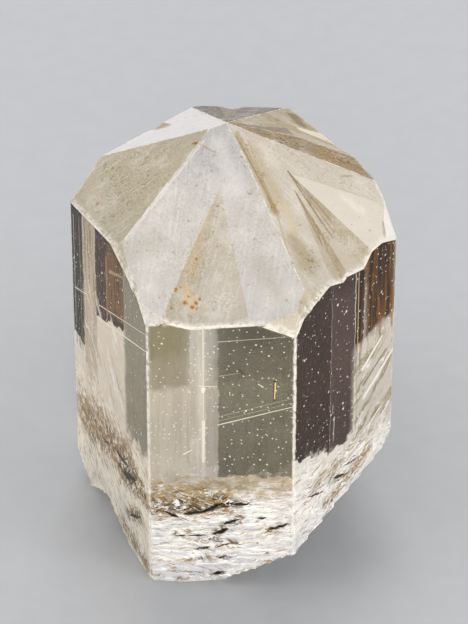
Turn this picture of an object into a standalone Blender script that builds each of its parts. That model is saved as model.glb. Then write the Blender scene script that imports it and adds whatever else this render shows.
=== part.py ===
# Phenakite crystal: a six-sided prism under a low dome with six ridges, broken off below.
# The dome is a twin, so V-shaped notches run down it between the ridges.
# Metres, +Z up. The origin is under the crystal's middle, on the flat that it rests on.
#
# A face is named by where it looks (azimuth), how far it leans from level (slope) and how
# far it lies from the crystal's centre. The crystal is a block cut by all its faces in turn.

import math

import bmesh
import bpy
from mathutils import Vector

MM = 0.001

# Driving dimensions, in millimetres and degrees.
APEX = (-0.37, -0.13, 20.74)
CENTRE_HEIGHT = 10.0
BLOCK_SIZE = 60.0

# Side faces: azimuth and distance from the axis.
PRISM = {
    "front": (-90.0, 8.12),
    "right": (-30.0, 7.08),
    "back_right": (30.0, 5.80),
    "back": (90.0, 8.12),
    "back_left": (150.0, 6.13),
    "left": (210.0, 6.75),
}

# Dome faces: azimuth, slope, and how far above the apex the face passes.
DOME = {
    "front": (-92.8, 32.0, 0.0),
    "left": (-168.6, 35.4, 0.36),
    "back_left": (131.8, 35.1, 0.0),
    "back": (93.9, 33.4, 0.0),
    "right_back": (37.8, 30.6, 0.0),
    "right_high": (-23.5, 30.4, 0.0),
    "right_low": (-26.5, 31.4, 0.06),
}

# The dome's back right stands lower: this face is cut into the body up to a stepped wall.
# The wall starts at the apex, bends inside the dome and ends in a mouth at the prism. The
# two places on the band are where it meets the face beside it. All are seen in plan.
LOW_FACE = (53.1, 34.6, 0.0)
WALL_BEND = (2.02, 3.56)
WALL_MOUTH = (4.51, 3.78)
BAND_LOW = (5.30, 2.42)
BAND_HIGH = (3.60, 2.60)

# V-notches: the dome face that each runs down, where its valley starts, where the valley
# meets the prism with its depth there, and where its left and right edges meet the prism.
NOTCHES = {
    "front_notch": ("front", (-0.39, -2.73), (-1.15, -8.12, 0.33), (-2.49, -8.12), (1.47, -8.12)),
    "right_notch": ("right_low", (2.43, -1.12), (6.12, -3.56, 0.60), (5.10, -5.40), (6.42, -3.05)),
    "right_inner_notch": ("right_low", (2.85, -1.95), (5.30, -4.98, 0.42), (4.90, -5.67), (5.80, -4.12)),
    "back_left_notch": ("back_left", (-3.32, 4.04), (-4.25, 4.88, 0.12), (-4.60, 4.28), (-3.90, 5.49)),
    "back_notch": ("back", (-0.60, 2.00), (-0.88, 8.12, 0.18), (-1.60, 8.12), (-0.40, 8.12)),
}

# Small steep faces at the shoulder: azimuth, slope, distance from the centre.
SHOULDER = {
    "left_edge": (-140.0, 62.0, 9.47),
    "front_left_corner": (-106.0, 53.0, 10.12),
    "front_right_corner": (-77.0, 57.7, 10.18),
    "right_edge": (-45.0, 50.0, 9.97),
    "right_corner": (-10.0, 55.0, 9.44),
}

# The broken underside: azimuth, slope from level, distance from the centre.
BREAK = {
    "front": (-79.0, 45.5, 12.43),
    "front_right": (-34.7, 37.0, 10.78),
    "right": (-17.2, 40.3, 9.74),
    "right_corner": (20.3, 46.0, 8.88),
    "left": (165.0, 45.0, 11.31),
    "back": (100.0, 35.0, 11.47),
    "back_right": (45.0, 52.0, 8.60),
    "back_left": (140.0, 28.0, 11.13),
}

# Ledges broken out of the lower rim: the highest point, then azimuth and slope of its two
# roofs, which both look down and meet in a line through that point.
LEDGES = {
    "left_ledge": ((-5.61, -3.76, 1.02), (-3.6, 36.2), (75.0, 35.0)),
    "back_ledge": ((-1.60, 8.12, 1.90), (-55.0, 30.0), (-170.0, 62.0)),
    "right_ledge": ((6.40, 0.52, 4.10), (-150.0, 38.0), (-75.0, 56.0)),
}

# Small round chips on the shoulder's edges: centre and radius.
CHIPS = {
    "front_chip": ((-2.76, -8.30, 15.78), 0.42),
    "left_chip": ((-4.06, -6.98, 16.70), 0.50),
    "right_chip": ((4.10, -7.28, 16.35), 0.36),
}


def unit(azimuth, slope):
    """The direction of a face that leans by slope and looks along azimuth."""
    a = math.radians(azimuth)
    s = math.radians(slope)
    return Vector((math.sin(s) * math.cos(a), math.sin(s) * math.sin(a), math.cos(s)))


def dome_plane(face):
    azimuth, slope, lift = face
    return Vector(APEX) + Vector((0.0, 0.0, lift)), unit(azimuth, slope)


def height_on(plane, x, y):
    point, normal = plane
    return point.z - (normal.x * (x - point.x) + normal.y * (y - point.y)) / normal.z


def on_plane(plane, x, y, depth=0.0):
    return Vector((x, y, height_on(plane, x, y) - depth))


def plane_through(a, b, c):
    """The plane through three points, looking up."""
    normal = (b - a).cross(c - a).normalized()
    if normal.z < 0.0:
        normal = -normal
    return a, normal


def centre_plane(azimuth, slope, distance):
    normal = unit(azimuth, slope)
    return Vector((0.0, 0.0, CENTRE_HEIGHT)) + normal * distance, normal


def new_block():
    bm = bmesh.new()
    bmesh.ops.create_cube(bm, size=BLOCK_SIZE)
    return bm


def cut(bm, plane):
    """Takes away what lies beyond the plane and closes the cut with one flat face."""
    point, normal = plane
    geometry = bm.verts[:] + bm.edges[:] + bm.faces[:]
    found = bmesh.ops.bisect_plane(
        bm, geom=geometry, dist=1e-5, plane_co=point, plane_no=normal, clear_outer=True)
    rim = [item for item in found["geom_cut"] if isinstance(item, bmesh.types.BMEdge)]
    if rim:
        bmesh.ops.edgeloop_fill(bm, edges=rim)


def new_object(name, bm, collection):
    bmesh.ops.scale(bm, vec=(MM, MM, MM), verts=bm.verts)
    bmesh.ops.recalc_face_normals(bm, faces=bm.faces)
    mesh = bpy.data.meshes.new(name)
    bm.to_mesh(mesh)
    bm.free()
    item = bpy.data.objects.new(name, mesh)
    collection.objects.link(item)
    return item


def make_body(collection):
    """The closed, outward-curving form: prism, dome, shoulder and broken underside."""
    bm = new_block()
    for azimuth, distance in PRISM.values():
        cut(bm, centre_plane(azimuth, 90.0, distance))
    for face in DOME.values():
        cut(bm, dome_plane(face))
    for azimuth, slope, distance in SHOULDER.values():
        cut(bm, centre_plane(azimuth, slope, distance))
    cut(bm, (Vector((0.0, 0.0, 0.0)), Vector((0.0, 0.0, -1.0))))
    for azimuth, slope, distance in BREAK.values():
        cut(bm, centre_plane(azimuth, 180.0 - slope, distance))
    return new_object("crystal", bm, collection)


def as_cutter(item):
    item.display_type = "WIRE"
    item.hide_render = True
    return item


def make_notch(name, walls, collection):
    """A wedge of all that lies on the open side of both walls of a notch."""
    bm = new_block()
    for point, normal in walls:
        cut(bm, (point, -normal))
    return as_cutter(new_object(name, bm, collection))


def make_chip(name, centre, radius, collection):
    bm = bmesh.new()
    bmesh.ops.create_icosphere(bm, subdivisions=3, radius=radius)
    bmesh.ops.translate(bm, vec=Vector(centre), verts=bm.verts)
    return as_cutter(new_object(name, bm, collection))


def take_away(body, cutter):
    modifier = body.modifiers.new(cutter.name, "BOOLEAN")
    modifier.operation = "DIFFERENCE"
    modifier.solver = "EXACT"
    modifier.object = cutter


def v_notch(plane, start, valley, left, right):
    """Walls of a notch: plan points on a dome face, the valley's end with its depth."""
    head = on_plane(plane, *start)
    foot = on_plane(plane, *valley)
    return (plane_through(head, foot, on_plane(plane, *left)),
            plane_through(head, foot, on_plane(plane, *right)))


def ledge_roofs(top, *roofs):
    return [(Vector(top), -unit(*roof)) for roof in roofs]


def step_walls():
    """The lower face at the back right, with either half of the wall that bounds it."""
    low = dome_plane(LOW_FACE)
    band = dome_plane(DOME["right_back"])
    bend = on_plane(low, *WALL_BEND)
    mouth = on_plane(low, *WALL_MOUTH)
    return {
        "back_right_low": (low, plane_through(bend, mouth, on_plane(band, *BAND_LOW))),
        "back_right_high": (low, plane_through(Vector(APEX), bend, on_plane(band, *BAND_HIGH))),
    }


def recess_walls():
    """Every notch, step and ledge by name, with the walls that bound its wedge."""
    walls = {name: v_notch(dome_plane(DOME[face]), *places) for name, (face, *places) in NOTCHES.items()}
    walls.update(step_walls())
    for name, ledge in LEDGES.items():
        walls[name] = ledge_roofs(*ledge)
    return walls


def crystal_material():
    material = bpy.data.materials.new("phenakite")
    material.use_nodes = True
    shader = material.node_tree.nodes["Principled BSDF"]
    shader.inputs["Base Color"].default_value = (0.86, 0.82, 0.74, 1.0)
    shader.inputs["Roughness"].default_value = 0.12
    shader.inputs["Metallic"].default_value = 0.0
    shader.inputs["IOR"].default_value = 1.66
    shader.inputs["Transmission Weight"].default_value = 1.0
    return material


def main():
    for item in list(bpy.data.objects):
        bpy.data.objects.remove(item, do_unlink=True)
    parts = bpy.data.collections.new("phenakite crystal")
    cutters = bpy.data.collections.new("cutters")
    for collection in (parts, cutters):
        bpy.context.scene.collection.children.link(collection)
    crystal = make_body(parts)
    for name, walls in recess_walls().items():
        take_away(crystal, make_notch(name, walls, cutters))
    for name, (centre, radius) in CHIPS.items():
        take_away(crystal, make_chip(name, centre, radius, cutters))
    crystal.data.materials.append(crystal_material())


main()
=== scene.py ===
import math
import random

import bpy
from mathutils import Matrix, Vector
from mathutils.bvhtree import BVHTree


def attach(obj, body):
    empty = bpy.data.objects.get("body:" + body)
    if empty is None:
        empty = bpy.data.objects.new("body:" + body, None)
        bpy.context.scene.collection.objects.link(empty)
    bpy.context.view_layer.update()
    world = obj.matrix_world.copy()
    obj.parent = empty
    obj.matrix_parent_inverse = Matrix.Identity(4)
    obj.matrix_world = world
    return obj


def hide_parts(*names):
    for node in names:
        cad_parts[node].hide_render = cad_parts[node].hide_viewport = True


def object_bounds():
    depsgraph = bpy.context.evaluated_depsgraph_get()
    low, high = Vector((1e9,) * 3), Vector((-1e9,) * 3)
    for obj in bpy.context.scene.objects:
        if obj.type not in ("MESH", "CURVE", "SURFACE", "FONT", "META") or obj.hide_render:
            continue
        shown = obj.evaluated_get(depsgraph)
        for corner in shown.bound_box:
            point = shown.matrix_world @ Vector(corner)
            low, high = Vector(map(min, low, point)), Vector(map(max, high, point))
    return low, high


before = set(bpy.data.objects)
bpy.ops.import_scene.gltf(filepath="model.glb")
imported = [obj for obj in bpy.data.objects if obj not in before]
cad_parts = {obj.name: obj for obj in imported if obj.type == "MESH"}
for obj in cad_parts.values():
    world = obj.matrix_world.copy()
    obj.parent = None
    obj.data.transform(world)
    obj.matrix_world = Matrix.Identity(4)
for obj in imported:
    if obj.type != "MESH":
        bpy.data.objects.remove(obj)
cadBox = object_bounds()
mm = 0.001

for item in bpy.context.selected_objects:
    item.select_set(False)


# Helpers for directions and colours

def direction(azimuth, slope):
    a, s = math.radians(azimuth), math.radians(slope)
    return Vector((math.sin(s) * math.cos(a), math.sin(s) * math.sin(a), math.cos(s)))


def tone(red, green, blue):
    steps = [channel / 255 for channel in (red, green, blue)]
    linear = [s / 12.92 if s <= 0.04045 else ((s + 0.055) / 1.055) ** 2.4 for s in steps]
    return (*linear, 1.0)


# Helpers for shader nodes. A value may be a plain number, a tuple or another node's output.

def addNode(tree, kind, **settings):
    node = tree.nodes.new(kind)
    for name, value in settings.items():
        setattr(node, name, value)
    return node


def feed(tree, socket, value):
    if isinstance(value, bpy.types.NodeSocket):
        tree.links.new(value, socket)
    else:
        socket.default_value = value


def calc(tree, operation, *values):
    node = addNode(tree, "ShaderNodeMath", operation=operation)
    for socket, value in zip(node.inputs, values):
        feed(tree, socket, value)
    return node.outputs["Value"]


def vectorCalc(tree, operation, *values):
    node = addNode(tree, "ShaderNodeVectorMath", operation=operation)
    for socket, value in zip(node.inputs, values):
        feed(tree, socket, value)
    single = operation in ("LENGTH", "DISTANCE", "DOT_PRODUCT")
    return node.outputs["Value" if single else "Vector"]


def within(tree, value):
    # keeps a value between 0 and 1
    return calc(tree, "MINIMUM", calc(tree, "MAXIMUM", value, 0.0), 1.0)


def ramp(tree, value, low, high, first=0.0, last=1.0):
    node = addNode(tree, "ShaderNodeMapRange", interpolation_type="SMOOTHSTEP", clamp=False)
    sockets = ("Value", "From Min", "From Max", "To Min", "To Max")
    for name, setting in zip(sockets, (value, low, high, first, last)):
        feed(tree, node.inputs[name], setting)
    return node.outputs["Result"]


def blendColour(tree, mask, under, over, way="MIX"):
    node = addNode(tree, "ShaderNodeMix", data_type="RGBA", blend_type=way)
    for place, value in ((0, mask), (6, under), (7, over)):
        feed(tree, node.inputs[place], value)
    return node.outputs[2]


def mixValue(tree, mask, first, second):
    node = addNode(tree, "ShaderNodeMix", data_type="FLOAT")
    for place, value in ((0, mask), (2, first), (3, second)):
        feed(tree, node.inputs[place], value)
    return node.outputs[0]


def noise(tree, place, scale, detail=3.0, roughness=0.55, output="Fac"):
    node = addNode(tree, "ShaderNodeTexNoise")
    for name, value in (("Vector", place), ("Scale", scale), ("Detail", detail), ("Roughness", roughness)):
        feed(tree, node.inputs[name], value)
    return node.outputs[output]


def shaken(tree, place, scale, reach):
    # the place, shifted every way by up to half the reach
    shift = vectorCalc(tree, "SUBTRACT", noise(tree, place, scale, 2.0, 0.5, "Color"), (0.5, 0.5, 0.5))
    return vectorCalc(tree, "ADD", place, vectorCalc(tree, "MULTIPLY", shift, (reach, reach, reach)))


def millimetres(tree):
    coordinates = addNode(tree, "ShaderNodeTexCoord")
    return vectorCalc(tree, "MULTIPLY", coordinates.outputs["Object"], (1 / mm, 1 / mm, 1 / mm))


def attribute(tree, name, output="Fac"):
    return addNode(tree, "ShaderNodeAttribute", attribute_name=name).outputs[output]


def newMaterial(name):
    material = bpy.data.materials.new(name)
    material.use_nodes = True
    return material, material.node_tree, material.node_tree.nodes["Principled BSDF"]


# Effects that several materials or places share, each a node group with one mask as its output

def newEffect(name, **inputs):
    group = bpy.data.node_groups.new(name, "ShaderNodeTree")
    for label, value in inputs.items():
        kind = "NodeSocketVector" if isinstance(value, tuple) else "NodeSocketFloat"
        socket = group.interface.new_socket(name=label, in_out="INPUT", socket_type=kind)
        socket.default_value = value
    group.interface.new_socket(name="mask", in_out="OUTPUT", socket_type="NodeSocketFloat")
    return group, addNode(group, "NodeGroupInput").outputs, addNode(group, "NodeGroupOutput").inputs["mask"]


def useEffect(tree, group, **values):
    node = addNode(tree, "ShaderNodeGroup", node_tree=group)
    for name, value in values.items():
        feed(tree, node.inputs[name], value)
    return node.outputs["mask"]


grainShape = {"smallest": 0.4, "core": 0.55}


def makeSpeckle():
    # round grains of uneven size, one in some of the cells
    group, given, result = newEffect("speckle", place=(0.0, 0.0, 0.0), cells=2.0, radius=0.2, share=0.5)
    cells = addNode(group, "ShaderNodeTexVoronoi")
    feed(group, cells.inputs["Vector"], given["place"])
    feed(group, cells.inputs["Scale"], given["cells"])
    chance = addNode(group, "ShaderNodeSeparateColor")
    feed(group, chance.inputs["Color"], cells.outputs["Color"])
    present = calc(group, "LESS_THAN", chance.outputs["Red"], given["share"])
    swell = calc(group, "ADD", chance.outputs["Green"], grainShape["smallest"])
    size = calc(group, "MULTIPLY", given["radius"], swell)
    core = calc(group, "MULTIPLY", size, grainShape["core"])
    grain = ramp(group, cells.outputs["Distance"], size, core)
    feed(group, result, calc(group, "MULTIPLY", grain, present))
    return group


def sizesOf(look):
    # a speckle's own values, out of a look that also holds its colour
    return {key: look[key] for key in ("cells", "radius", "share")}


def makeStroke():
    # everything near a straight line from start to end, whose width may change on the way
    # and, on a spindle, shrinks towards both ends
    group, given, result = newEffect(
        "stroke", place=(0.0, 0.0, 0.0), start=(0.0, 0.0, 0.0), end=(1.0, 0.0, 0.0),
        startWidth=0.1, endWidth=0.1, softness=0.5, spindle=0.0)
    along = vectorCalc(group, "SUBTRACT", given["end"], given["start"])
    away = vectorCalc(group, "SUBTRACT", given["place"], given["start"])
    length = calc(group, "MAXIMUM", vectorCalc(group, "DOT_PRODUCT", along, along), 1e-6)
    perLength = addNode(group, "ShaderNodeVectorMath", operation="SCALE")
    feed(group, perLength.inputs[0], along)
    feed(group, perLength.inputs["Scale"], calc(group, "DIVIDE", 1.0, length))
    share = within(group, vectorCalc(group, "DOT_PRODUCT", away, perLength.outputs["Vector"]))
    middle = addNode(group, "ShaderNodeVectorMath", operation="SCALE")
    feed(group, middle.inputs[0], along)
    feed(group, middle.inputs["Scale"], share)
    distance = vectorCalc(group, "DISTANCE", away, middle.outputs["Vector"])
    growth = calc(group, "MULTIPLY", share, calc(group, "SUBTRACT", given["endWidth"], given["startWidth"]))
    width = calc(group, "ADD", given["startWidth"], growth)
    fromMiddle = calc(group, "SUBTRACT", calc(group, "MULTIPLY", share, 2.0), 1.0)
    shrink = calc(group, "MULTIPLY", calc(group, "MULTIPLY", fromMiddle, fromMiddle), given["spindle"])
    width = calc(group, "MULTIPLY", width, calc(group, "SUBTRACT", 1.0, shrink))
    core = calc(group, "MULTIPLY", width, calc(group, "SUBTRACT", 1.0, given["softness"]))
    feed(group, result, ramp(group, distance, width, core))
    return group


def makeSpot():
    # everything within reach of one place
    group, given, result = newEffect(
        "spot", place=(0.0, 0.0, 0.0), middle=(0.0, 0.0, 0.0), reach=0.1, softness=0.5)
    distance = vectorCalc(group, "DISTANCE", given["place"], given["middle"])
    core = calc(group, "MULTIPLY", given["reach"], calc(group, "SUBTRACT", 1.0, given["softness"]))
    feed(group, result, ramp(group, distance, given["reach"], core))
    return group


def makePane():
    # an open-topped patch of a side wall: from left to right, and up from a floor that may rise
    group, given, result = newEffect(
        "pane", around=0.0, height=0.0, left=0.0, right=1.0, low=0.0, rise=0.0, softness=0.05)
    run = calc(group, "SUBTRACT", given["around"], given["left"])
    across = calc(group, "MINIMUM", run, calc(group, "SUBTRACT", given["right"], given["around"]))
    floorLevel = calc(group, "ADD", given["low"], calc(group, "MULTIPLY", run, given["rise"]))
    inward = calc(group, "MINIMUM", across, calc(group, "SUBTRACT", given["height"], floorLevel))
    outside = calc(group, "MULTIPLY", given["softness"], -1.0)
    feed(group, result, ramp(group, inward, outside, given["softness"]))
    return group


def makeStreaks():
    # fine strands drawn out along one direction of a stretched place
    group, given, result = newEffect(
        "streaks", place=(0.0, 0.0, 0.0), stretch=(1.0, 1.0, 1.0), low=0.5, high=0.7)
    drawn = vectorCalc(group, "MULTIPLY", given["place"], given["stretch"])
    feed(group, result, ramp(group, noise(group, drawn, 1.0, 4.0, 0.6), given["low"], given["high"]))
    return group


speckle = makeSpeckle()
stroke = makeStroke()
spot = makeSpot()
pane = makePane()
streaks = makeStreaks()
print("effects ready:", speckle.name, stroke.name, spot.name, pane.name, streaks.name)


# The camera looks down at the front of the crystal, a little from its right.

photoView = {
    "azimuth": 5.7,
    "elevation": 40.2,
    "distance": 200.56,
    "target": (-0.046, 0.0, 9.628),
    "focalLength": 251.5,
    "nearest": 5.0,
}


def makeCamera(view):
    up, turn = math.radians(view["elevation"]), math.radians(view["azimuth"])
    back = Vector((math.sin(turn) * math.cos(up), -math.cos(turn) * math.cos(up), math.sin(up)))
    lens = bpy.data.cameras.new("camera")
    lens.lens = view["focalLength"]
    lens.clip_start = view["nearest"] * mm
    camera = bpy.data.objects.new("camera", lens)
    bpy.context.scene.collection.objects.link(camera)
    camera.location = (Vector(view["target"]) + back * view["distance"]) * mm
    camera.rotation_euler = back.to_track_quat("Z", "Y").to_euler()
    bpy.context.scene.camera = camera


makeCamera(photoView)
print("camera ready")


# Side walls in the order in which one walks around them, from the left corner past the front:
# where each looks, and how far it lies from the axis.

sideWalls = {
    "left": (210.0, 6.75),
    "front": (270.0, 8.12),
    "right": (330.0, 7.08),
    "backRight": (30.0, 5.80),
    "back": (90.0, 8.12),
    "backLeft": (150.0, 6.13),
}

# Where the front and the back wall lie from front to back
atFront = -sideWalls["front"][1]
atBack = sideWalls["back"][1]

# Strands in the clouded lower end of each wall: how steeply they rise, the levels between which they
# lie at the wall's left and right corners, how many pale and dark ones there are, how much darker tan
# their upper border is painted, and how warm their white is.
strandFields = {
    "left": {
        "rise": -54.0, "low": (1.3, 0.4), "high": (7.4, 7.2), "pale": 700, "dark": 40,
        "topDarkening": 0.2, "warmth": 0.5},
    "front": {
        "rise": 6.0, "low": (0.3, 2.3), "high": (6.1, 6.7), "pale": 800, "dark": 60,
        "topDarkening": 1.0, "warmth": 0.0},
    "right": {
        "rise": 6.0, "low": (2.3, 4.1), "high": (7.3, 5.2), "pale": 700, "dark": 30,
        "topDarkening": 0.35, "warmth": 0.0},
    "backRight": {
        "rise": 12.0, "low": (4.1, 5.3), "high": (6.6, 8.0), "pale": 420, "dark": 20,
        "topDarkening": 0.3, "warmth": 0.2},
    "back": {
        "rise": -20.0, "low": (5.2, 2.0), "high": (8.0, 6.5), "pale": 240, "dark": 12,
        "topDarkening": 0.3, "warmth": 0.2},
    "backLeft": {
        "rise": -8.0, "low": (2.0, 1.2), "high": (6.5, 7.5), "pale": 460, "dark": 20,
        "topDarkening": 0.3, "warmth": 0.3},
}


def cornerBetween(first, second):
    # where two walls meet, seen in plan
    normals = [direction(wall[0], 90.0) for wall in (first, second)]
    turn = normals[0].x * normals[1].y - normals[0].y * normals[1].x
    x = (first[1] * normals[1].y - second[1] * normals[0].y) / turn
    y = (second[1] * normals[0].x - first[1] * normals[1].x) / turn
    return Vector((x, y, 0.0))


def measureWalls():
    # for each wall: its normal, its direction of walking, its first corner and the way walked so far
    names = list(sideWalls)
    measured, walked = {}, 0.0
    for i, name in enumerate(names):
        wall, before, after = (sideWalls[names[k % len(names)]] for k in (i, i - 1, i + 1))
        normal = direction(wall[0], 90.0)
        start, end = cornerBetween(before, wall), cornerBetween(wall, after)
        measured[name] = {
            "normal": normal, "distance": wall[1], "start": start,
            "along": (end - start).normalized(), "length": (end - start).length, "walked": walked}
        walked += (end - start).length
    return measured


walls = measureWalls()


# The crystal: a copy of the solid with worn edges, gently waved faces and a rough break

crystalShape = {
    "weld": 0.02,
    "flatWithin": 0.5,
    "edgeWear": 0.08,
    "edgeSegments": 2,
    "ridgeWear": 0.3,
    "sharpestKept": 14.0,
    "shortestWorn": 0.6,
    "smallestFace": 3.2,
    "cutSpacing": 0.2,
    "cutSnap": 0.004,
    "breakLumps": (1.1, 0.24),
    "breakShells": (0.5, 0.12),
    "shellsHighest": 1.5,
    "breakEdge": 0.5,
    "rimNicks": (0.35, 0.07),
    "domeWaves": (0.8, 0.010),
    "wallWaves": (2.6, 0.006),
    "smoothBelow": 9.0,
    "rimEdge": 0.4,
    "uprightWithin": 0.02,
    "slopesApart": 7.0,
}

# A face whose normal rises or falls by more than the first of these is on the dome or the break, and one
# that falls by more than the second is the small flat that the crystal rests on.
wallLean = 0.05
restLean = 0.98

# Dome faces and notch walls by where they look (azimuth, slope), with their colour: partly the stone's own
# tone and partly painted light and shade, the light seen through each facet and reflected inside the stone.
domeFacets = {
    "front": (-92.8, 32.0, (193, 193, 196)),
    "left": (-168.6, 35.4, (174, 167, 146)),
    "backLeft": (131.8, 35.1, (235, 235, 242)),
    "back": (93.9, 33.4, (28, 11, 0)),
    "lowBack": (53.1, 34.6, (154, 137, 92)),
    "rightBack": (37.8, 30.6, (122, 98, 48)),
    "rightHigh": (-23.5, 30.4, (198, 191, 182)),
    "rightLow": (-26.5, 31.4, (194, 188, 178)),
    "kiteRight": (-103.2, 34.4, (182, 176, 167)),
    "kiteLeft": (-73.3, 36.9, (165, 160, 145)),
    "stepLow": (59.3, 38.3, (176, 162, 132)),
    "stepHigh": (66.8, 34.9, (98, 76, 38)),
    "notchRight": (-85.0, 50.0, (170, 156, 128)),
    "notchLeft": (-6.9, 39.7, (195, 186, 172)),
    "innerNotchLeft": (1.3, 47.3, (186, 174, 152)),
    "innerNotchRight": (-64.4, 34.3, (146, 128, 95)),
    "backNotchLeft": (73.6, 36.1, (110, 90, 54)),
    "backNotchRight": (122.1, 38.3, (98, 80, 48)),
    "nickRight": (146.5, 38.8, (150, 124, 84)),
    "nickLeft": (121.7, 39.6, (168, 146, 110)),
    "leftEdge": (-140.0, 62.0, (187, 176, 156)),
    "frontLeftCorner": (-106.0, 53.0, (211, 215, 217)),
    "frontRightCorner": (-77.0, 57.7, (200, 193, 178)),
    "rightEdge": (-45.0, 50.0, (166, 156, 136)),
    "rightCorner": (-10.0, 55.0, (255, 255, 255)),
}


def onDome(face):
    return face.normal.z > wallLean


def onBreak(face):
    return face.normal.z < -wallLean


def onRoughBreak(face):
    return -restLean < face.normal.z < -wallLean


def onWall(face):
    return abs(face.normal.z) <= wallLean


def onlySelect(item):
    bpy.ops.object.select_all(action="DESELECT")
    item.select_set(True)
    bpy.context.view_layer.objects.active = item


def applyModifier(piece, kind, name, **settings):
    modifier = piece.modifiers.new(name, kind)
    for setting, value in settings.items():
        setattr(modifier, setting, value)
    onlySelect(piece)
    bpy.ops.object.modifier_apply(modifier=name)


def copySolid(node, name):
    piece = bpy.data.objects.new(name, node.data.copy())
    bpy.context.scene.collection.objects.link(piece)
    onlySelect(piece)
    bpy.ops.object.mode_set(mode="EDIT")
    bpy.ops.mesh.select_all(action="SELECT")
    bpy.ops.mesh.remove_doubles(threshold=crystalShape["weld"] * mm)
    bpy.ops.mesh.dissolve_limited(angle_limit=math.radians(crystalShape["flatWithin"]))
    bpy.ops.object.mode_set(mode="OBJECT")
    return piece


def wearEdges(piece):
    # long outer edges between large faces, or against a side wall, are rounded over
    mesh = piece.data
    facesAt = {}
    for face in mesh.polygons:
        for key in face.edge_keys:
            facesAt.setdefault(key, []).append(face)
    weights = mesh.attributes.new("bevel_weight_edge", "FLOAT", "EDGE")
    for edge in mesh.edges:
        ends = [mesh.vertices[v].co for v in edge.vertices]
        length = (ends[0] - ends[1]).length / mm
        first, second = facesAt[edge.key]
        bend = math.degrees(first.normal.angle(second.normal))
        outward = (second.center - first.center).dot(first.normal) < 0
        large = min(first.area, second.area) / mm ** 2 > crystalShape["smallestFace"]
        atWall = min(abs(face.normal.z) for face in (first, second)) < crystalShape["uprightWithin"]
        chosen = outward and bend > crystalShape["sharpestKept"] and length > crystalShape["shortestWorn"]
        wear = 1.0 if atWall else crystalShape["ridgeWear"]
        weights.data[edge.index].value = wear if chosen and (large or atWall) else 0.0
    mesh.materials.append(None)
    applyModifier(
        piece, "BEVEL", "worn edges", limit_method="WEIGHT", width=crystalShape["edgeWear"] * mm,
        segments=crystalShape["edgeSegments"], use_clamp_overlap=False, material=1)


def cutLattice(piece):
    # even cuts along each axis give the flat faces enough points to be waved and chipped
    places = [vertex.co for vertex in piece.data.vertices]
    low, high = [[furthest(place[axis] for place in places) for axis in range(3)] for furthest in (min, max)]
    spacing = crystalShape["cutSpacing"] * mm
    onlySelect(piece)
    bpy.ops.object.mode_set(mode="EDIT")
    for axis in range(3):
        normal = [0.0, 0.0, 0.0]
        normal[axis] = 1.0
        for step in range(1, int((high[axis] - low[axis]) / spacing) + 1):
            place = [0.0, 0.0, 0.0]
            place[axis] = low[axis] + step * spacing
            bpy.ops.mesh.select_all(action="SELECT")
            bpy.ops.mesh.bisect(plane_co=place, plane_no=normal, threshold=crystalShape["cutSnap"] * mm)
    bpy.ops.object.mode_set(mode="OBJECT")


def nearestFacet(normal):
    angles = {name: normal.angle(direction(*facet[:2])) for name, facet in domeFacets.items()}
    return min(angles, key=angles.get)


def storeOn(mesh, name, kind, domain, field, values):
    stored = mesh.attributes.new(name, kind, domain)
    stored.data.foreach_set(field, values)


def readSkins(piece):
    # stores on each face which skin of the crystal it is, and on each corner its place on the walls
    mesh = piece.data
    names = list(domeFacets)
    skins = {name: [] for name in ("domeSkin", "breakSkin", "wornRim", "facetNumber")}
    tonesAndLight, places, strands, slopes = [], [], [], []
    known = {}
    for face in mesh.polygons:
        key = tuple(round(value, 3) for value in face.normal)
        if key not in known:
            known[key] = nearestFacet(face.normal)
        azimuth, slope, shade = domeFacets[known[key]]
        number = names.index(known[key])
        down = direction(azimuth, slope + 90.0)
        sideways = direction(azimuth + 90.0, 90.0)
        skins["domeSkin"].append(float(onDome(face)))
        skins["breakSkin"].append(float(onBreak(face)))
        skins["wornRim"].append(float(face.material_index == 1))
        skins["facetNumber"].append(float(number) if onDome(face) else -1.0)
        # each dome facet's colour, partly the stone's tone and partly painted light and shade
        colour = tone(*shade)
        centre = face.center / mm
        wallName = max(walls, key=lambda w: centre.dot(walls[w]["normal"]) - walls[w]["distance"])
        wall = walls[wallName]
        rise = math.radians(strandFields[wallName]["rise"])
        for corner in face.loop_indices:
            point = mesh.vertices[mesh.loops[corner].vertex_index].co / mm
            across = (point - wall["start"]).dot(wall["along"])
            under = wall["distance"] - point.dot(wall["normal"])
            places += (wall["walked"] + across, point.z, under)
            strands += (
                across * math.cos(rise) + point.z * math.sin(rise),
                point.z * math.cos(rise) - across * math.sin(rise), wall["walked"] + under)
            slopes += (point.dot(down), point.dot(sideways), crystalShape["slopesApart"] * number)
            tonesAndLight += colour
    for name, values in skins.items():
        storeOn(mesh, name, "FLOAT", "FACE", "value", values)
    storeOn(mesh, "facetToneAndLight", "FLOAT_COLOR", "CORNER", "color", tonesAndLight)
    storeOn(mesh, "slopePlace", "FLOAT_VECTOR", "CORNER", "vector", slopes)
    storeOn(mesh, "wallPlace", "FLOAT_VECTOR", "CORNER", "vector", places)
    storeOn(mesh, "strandPlace", "FLOAT_VECTOR", "CORNER", "vector", strands)
    mesh.polygons.foreach_set("material_index", [0] * len(mesh.polygons))


def groupVertices(piece, name, wanted, edgeShare=0.0):
    # the vertices of the wanted faces; those on their border count by the given share
    group = piece.vertex_groups.new(name=name)
    chosen, left, resting = set(), set(), set()
    for face in piece.data.polygons:
        (chosen if wanted(face) else left).update(face.vertices)
        if face.normal.z < -restLean:
            resting.update(face.vertices)
    group.add(sorted(chosen - left), 1.0, "REPLACE")
    group.add(sorted((chosen & left) - resting), edgeShare, "REPLACE")
    return group.name


def wave(piece, group, kind, grain, depth, highest=1.0):
    # presses the surface in by up to depth, never out, so that the crystal stays inside its solid
    texture = bpy.data.textures.new(group + " " + kind.lower(), kind)
    texture.noise_scale = grain * mm
    applyModifier(
        piece, "DISPLACE", group + " waves", texture=texture, texture_coords="LOCAL",
        strength=depth * mm, mid_level=highest, vertex_group=group)


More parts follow.
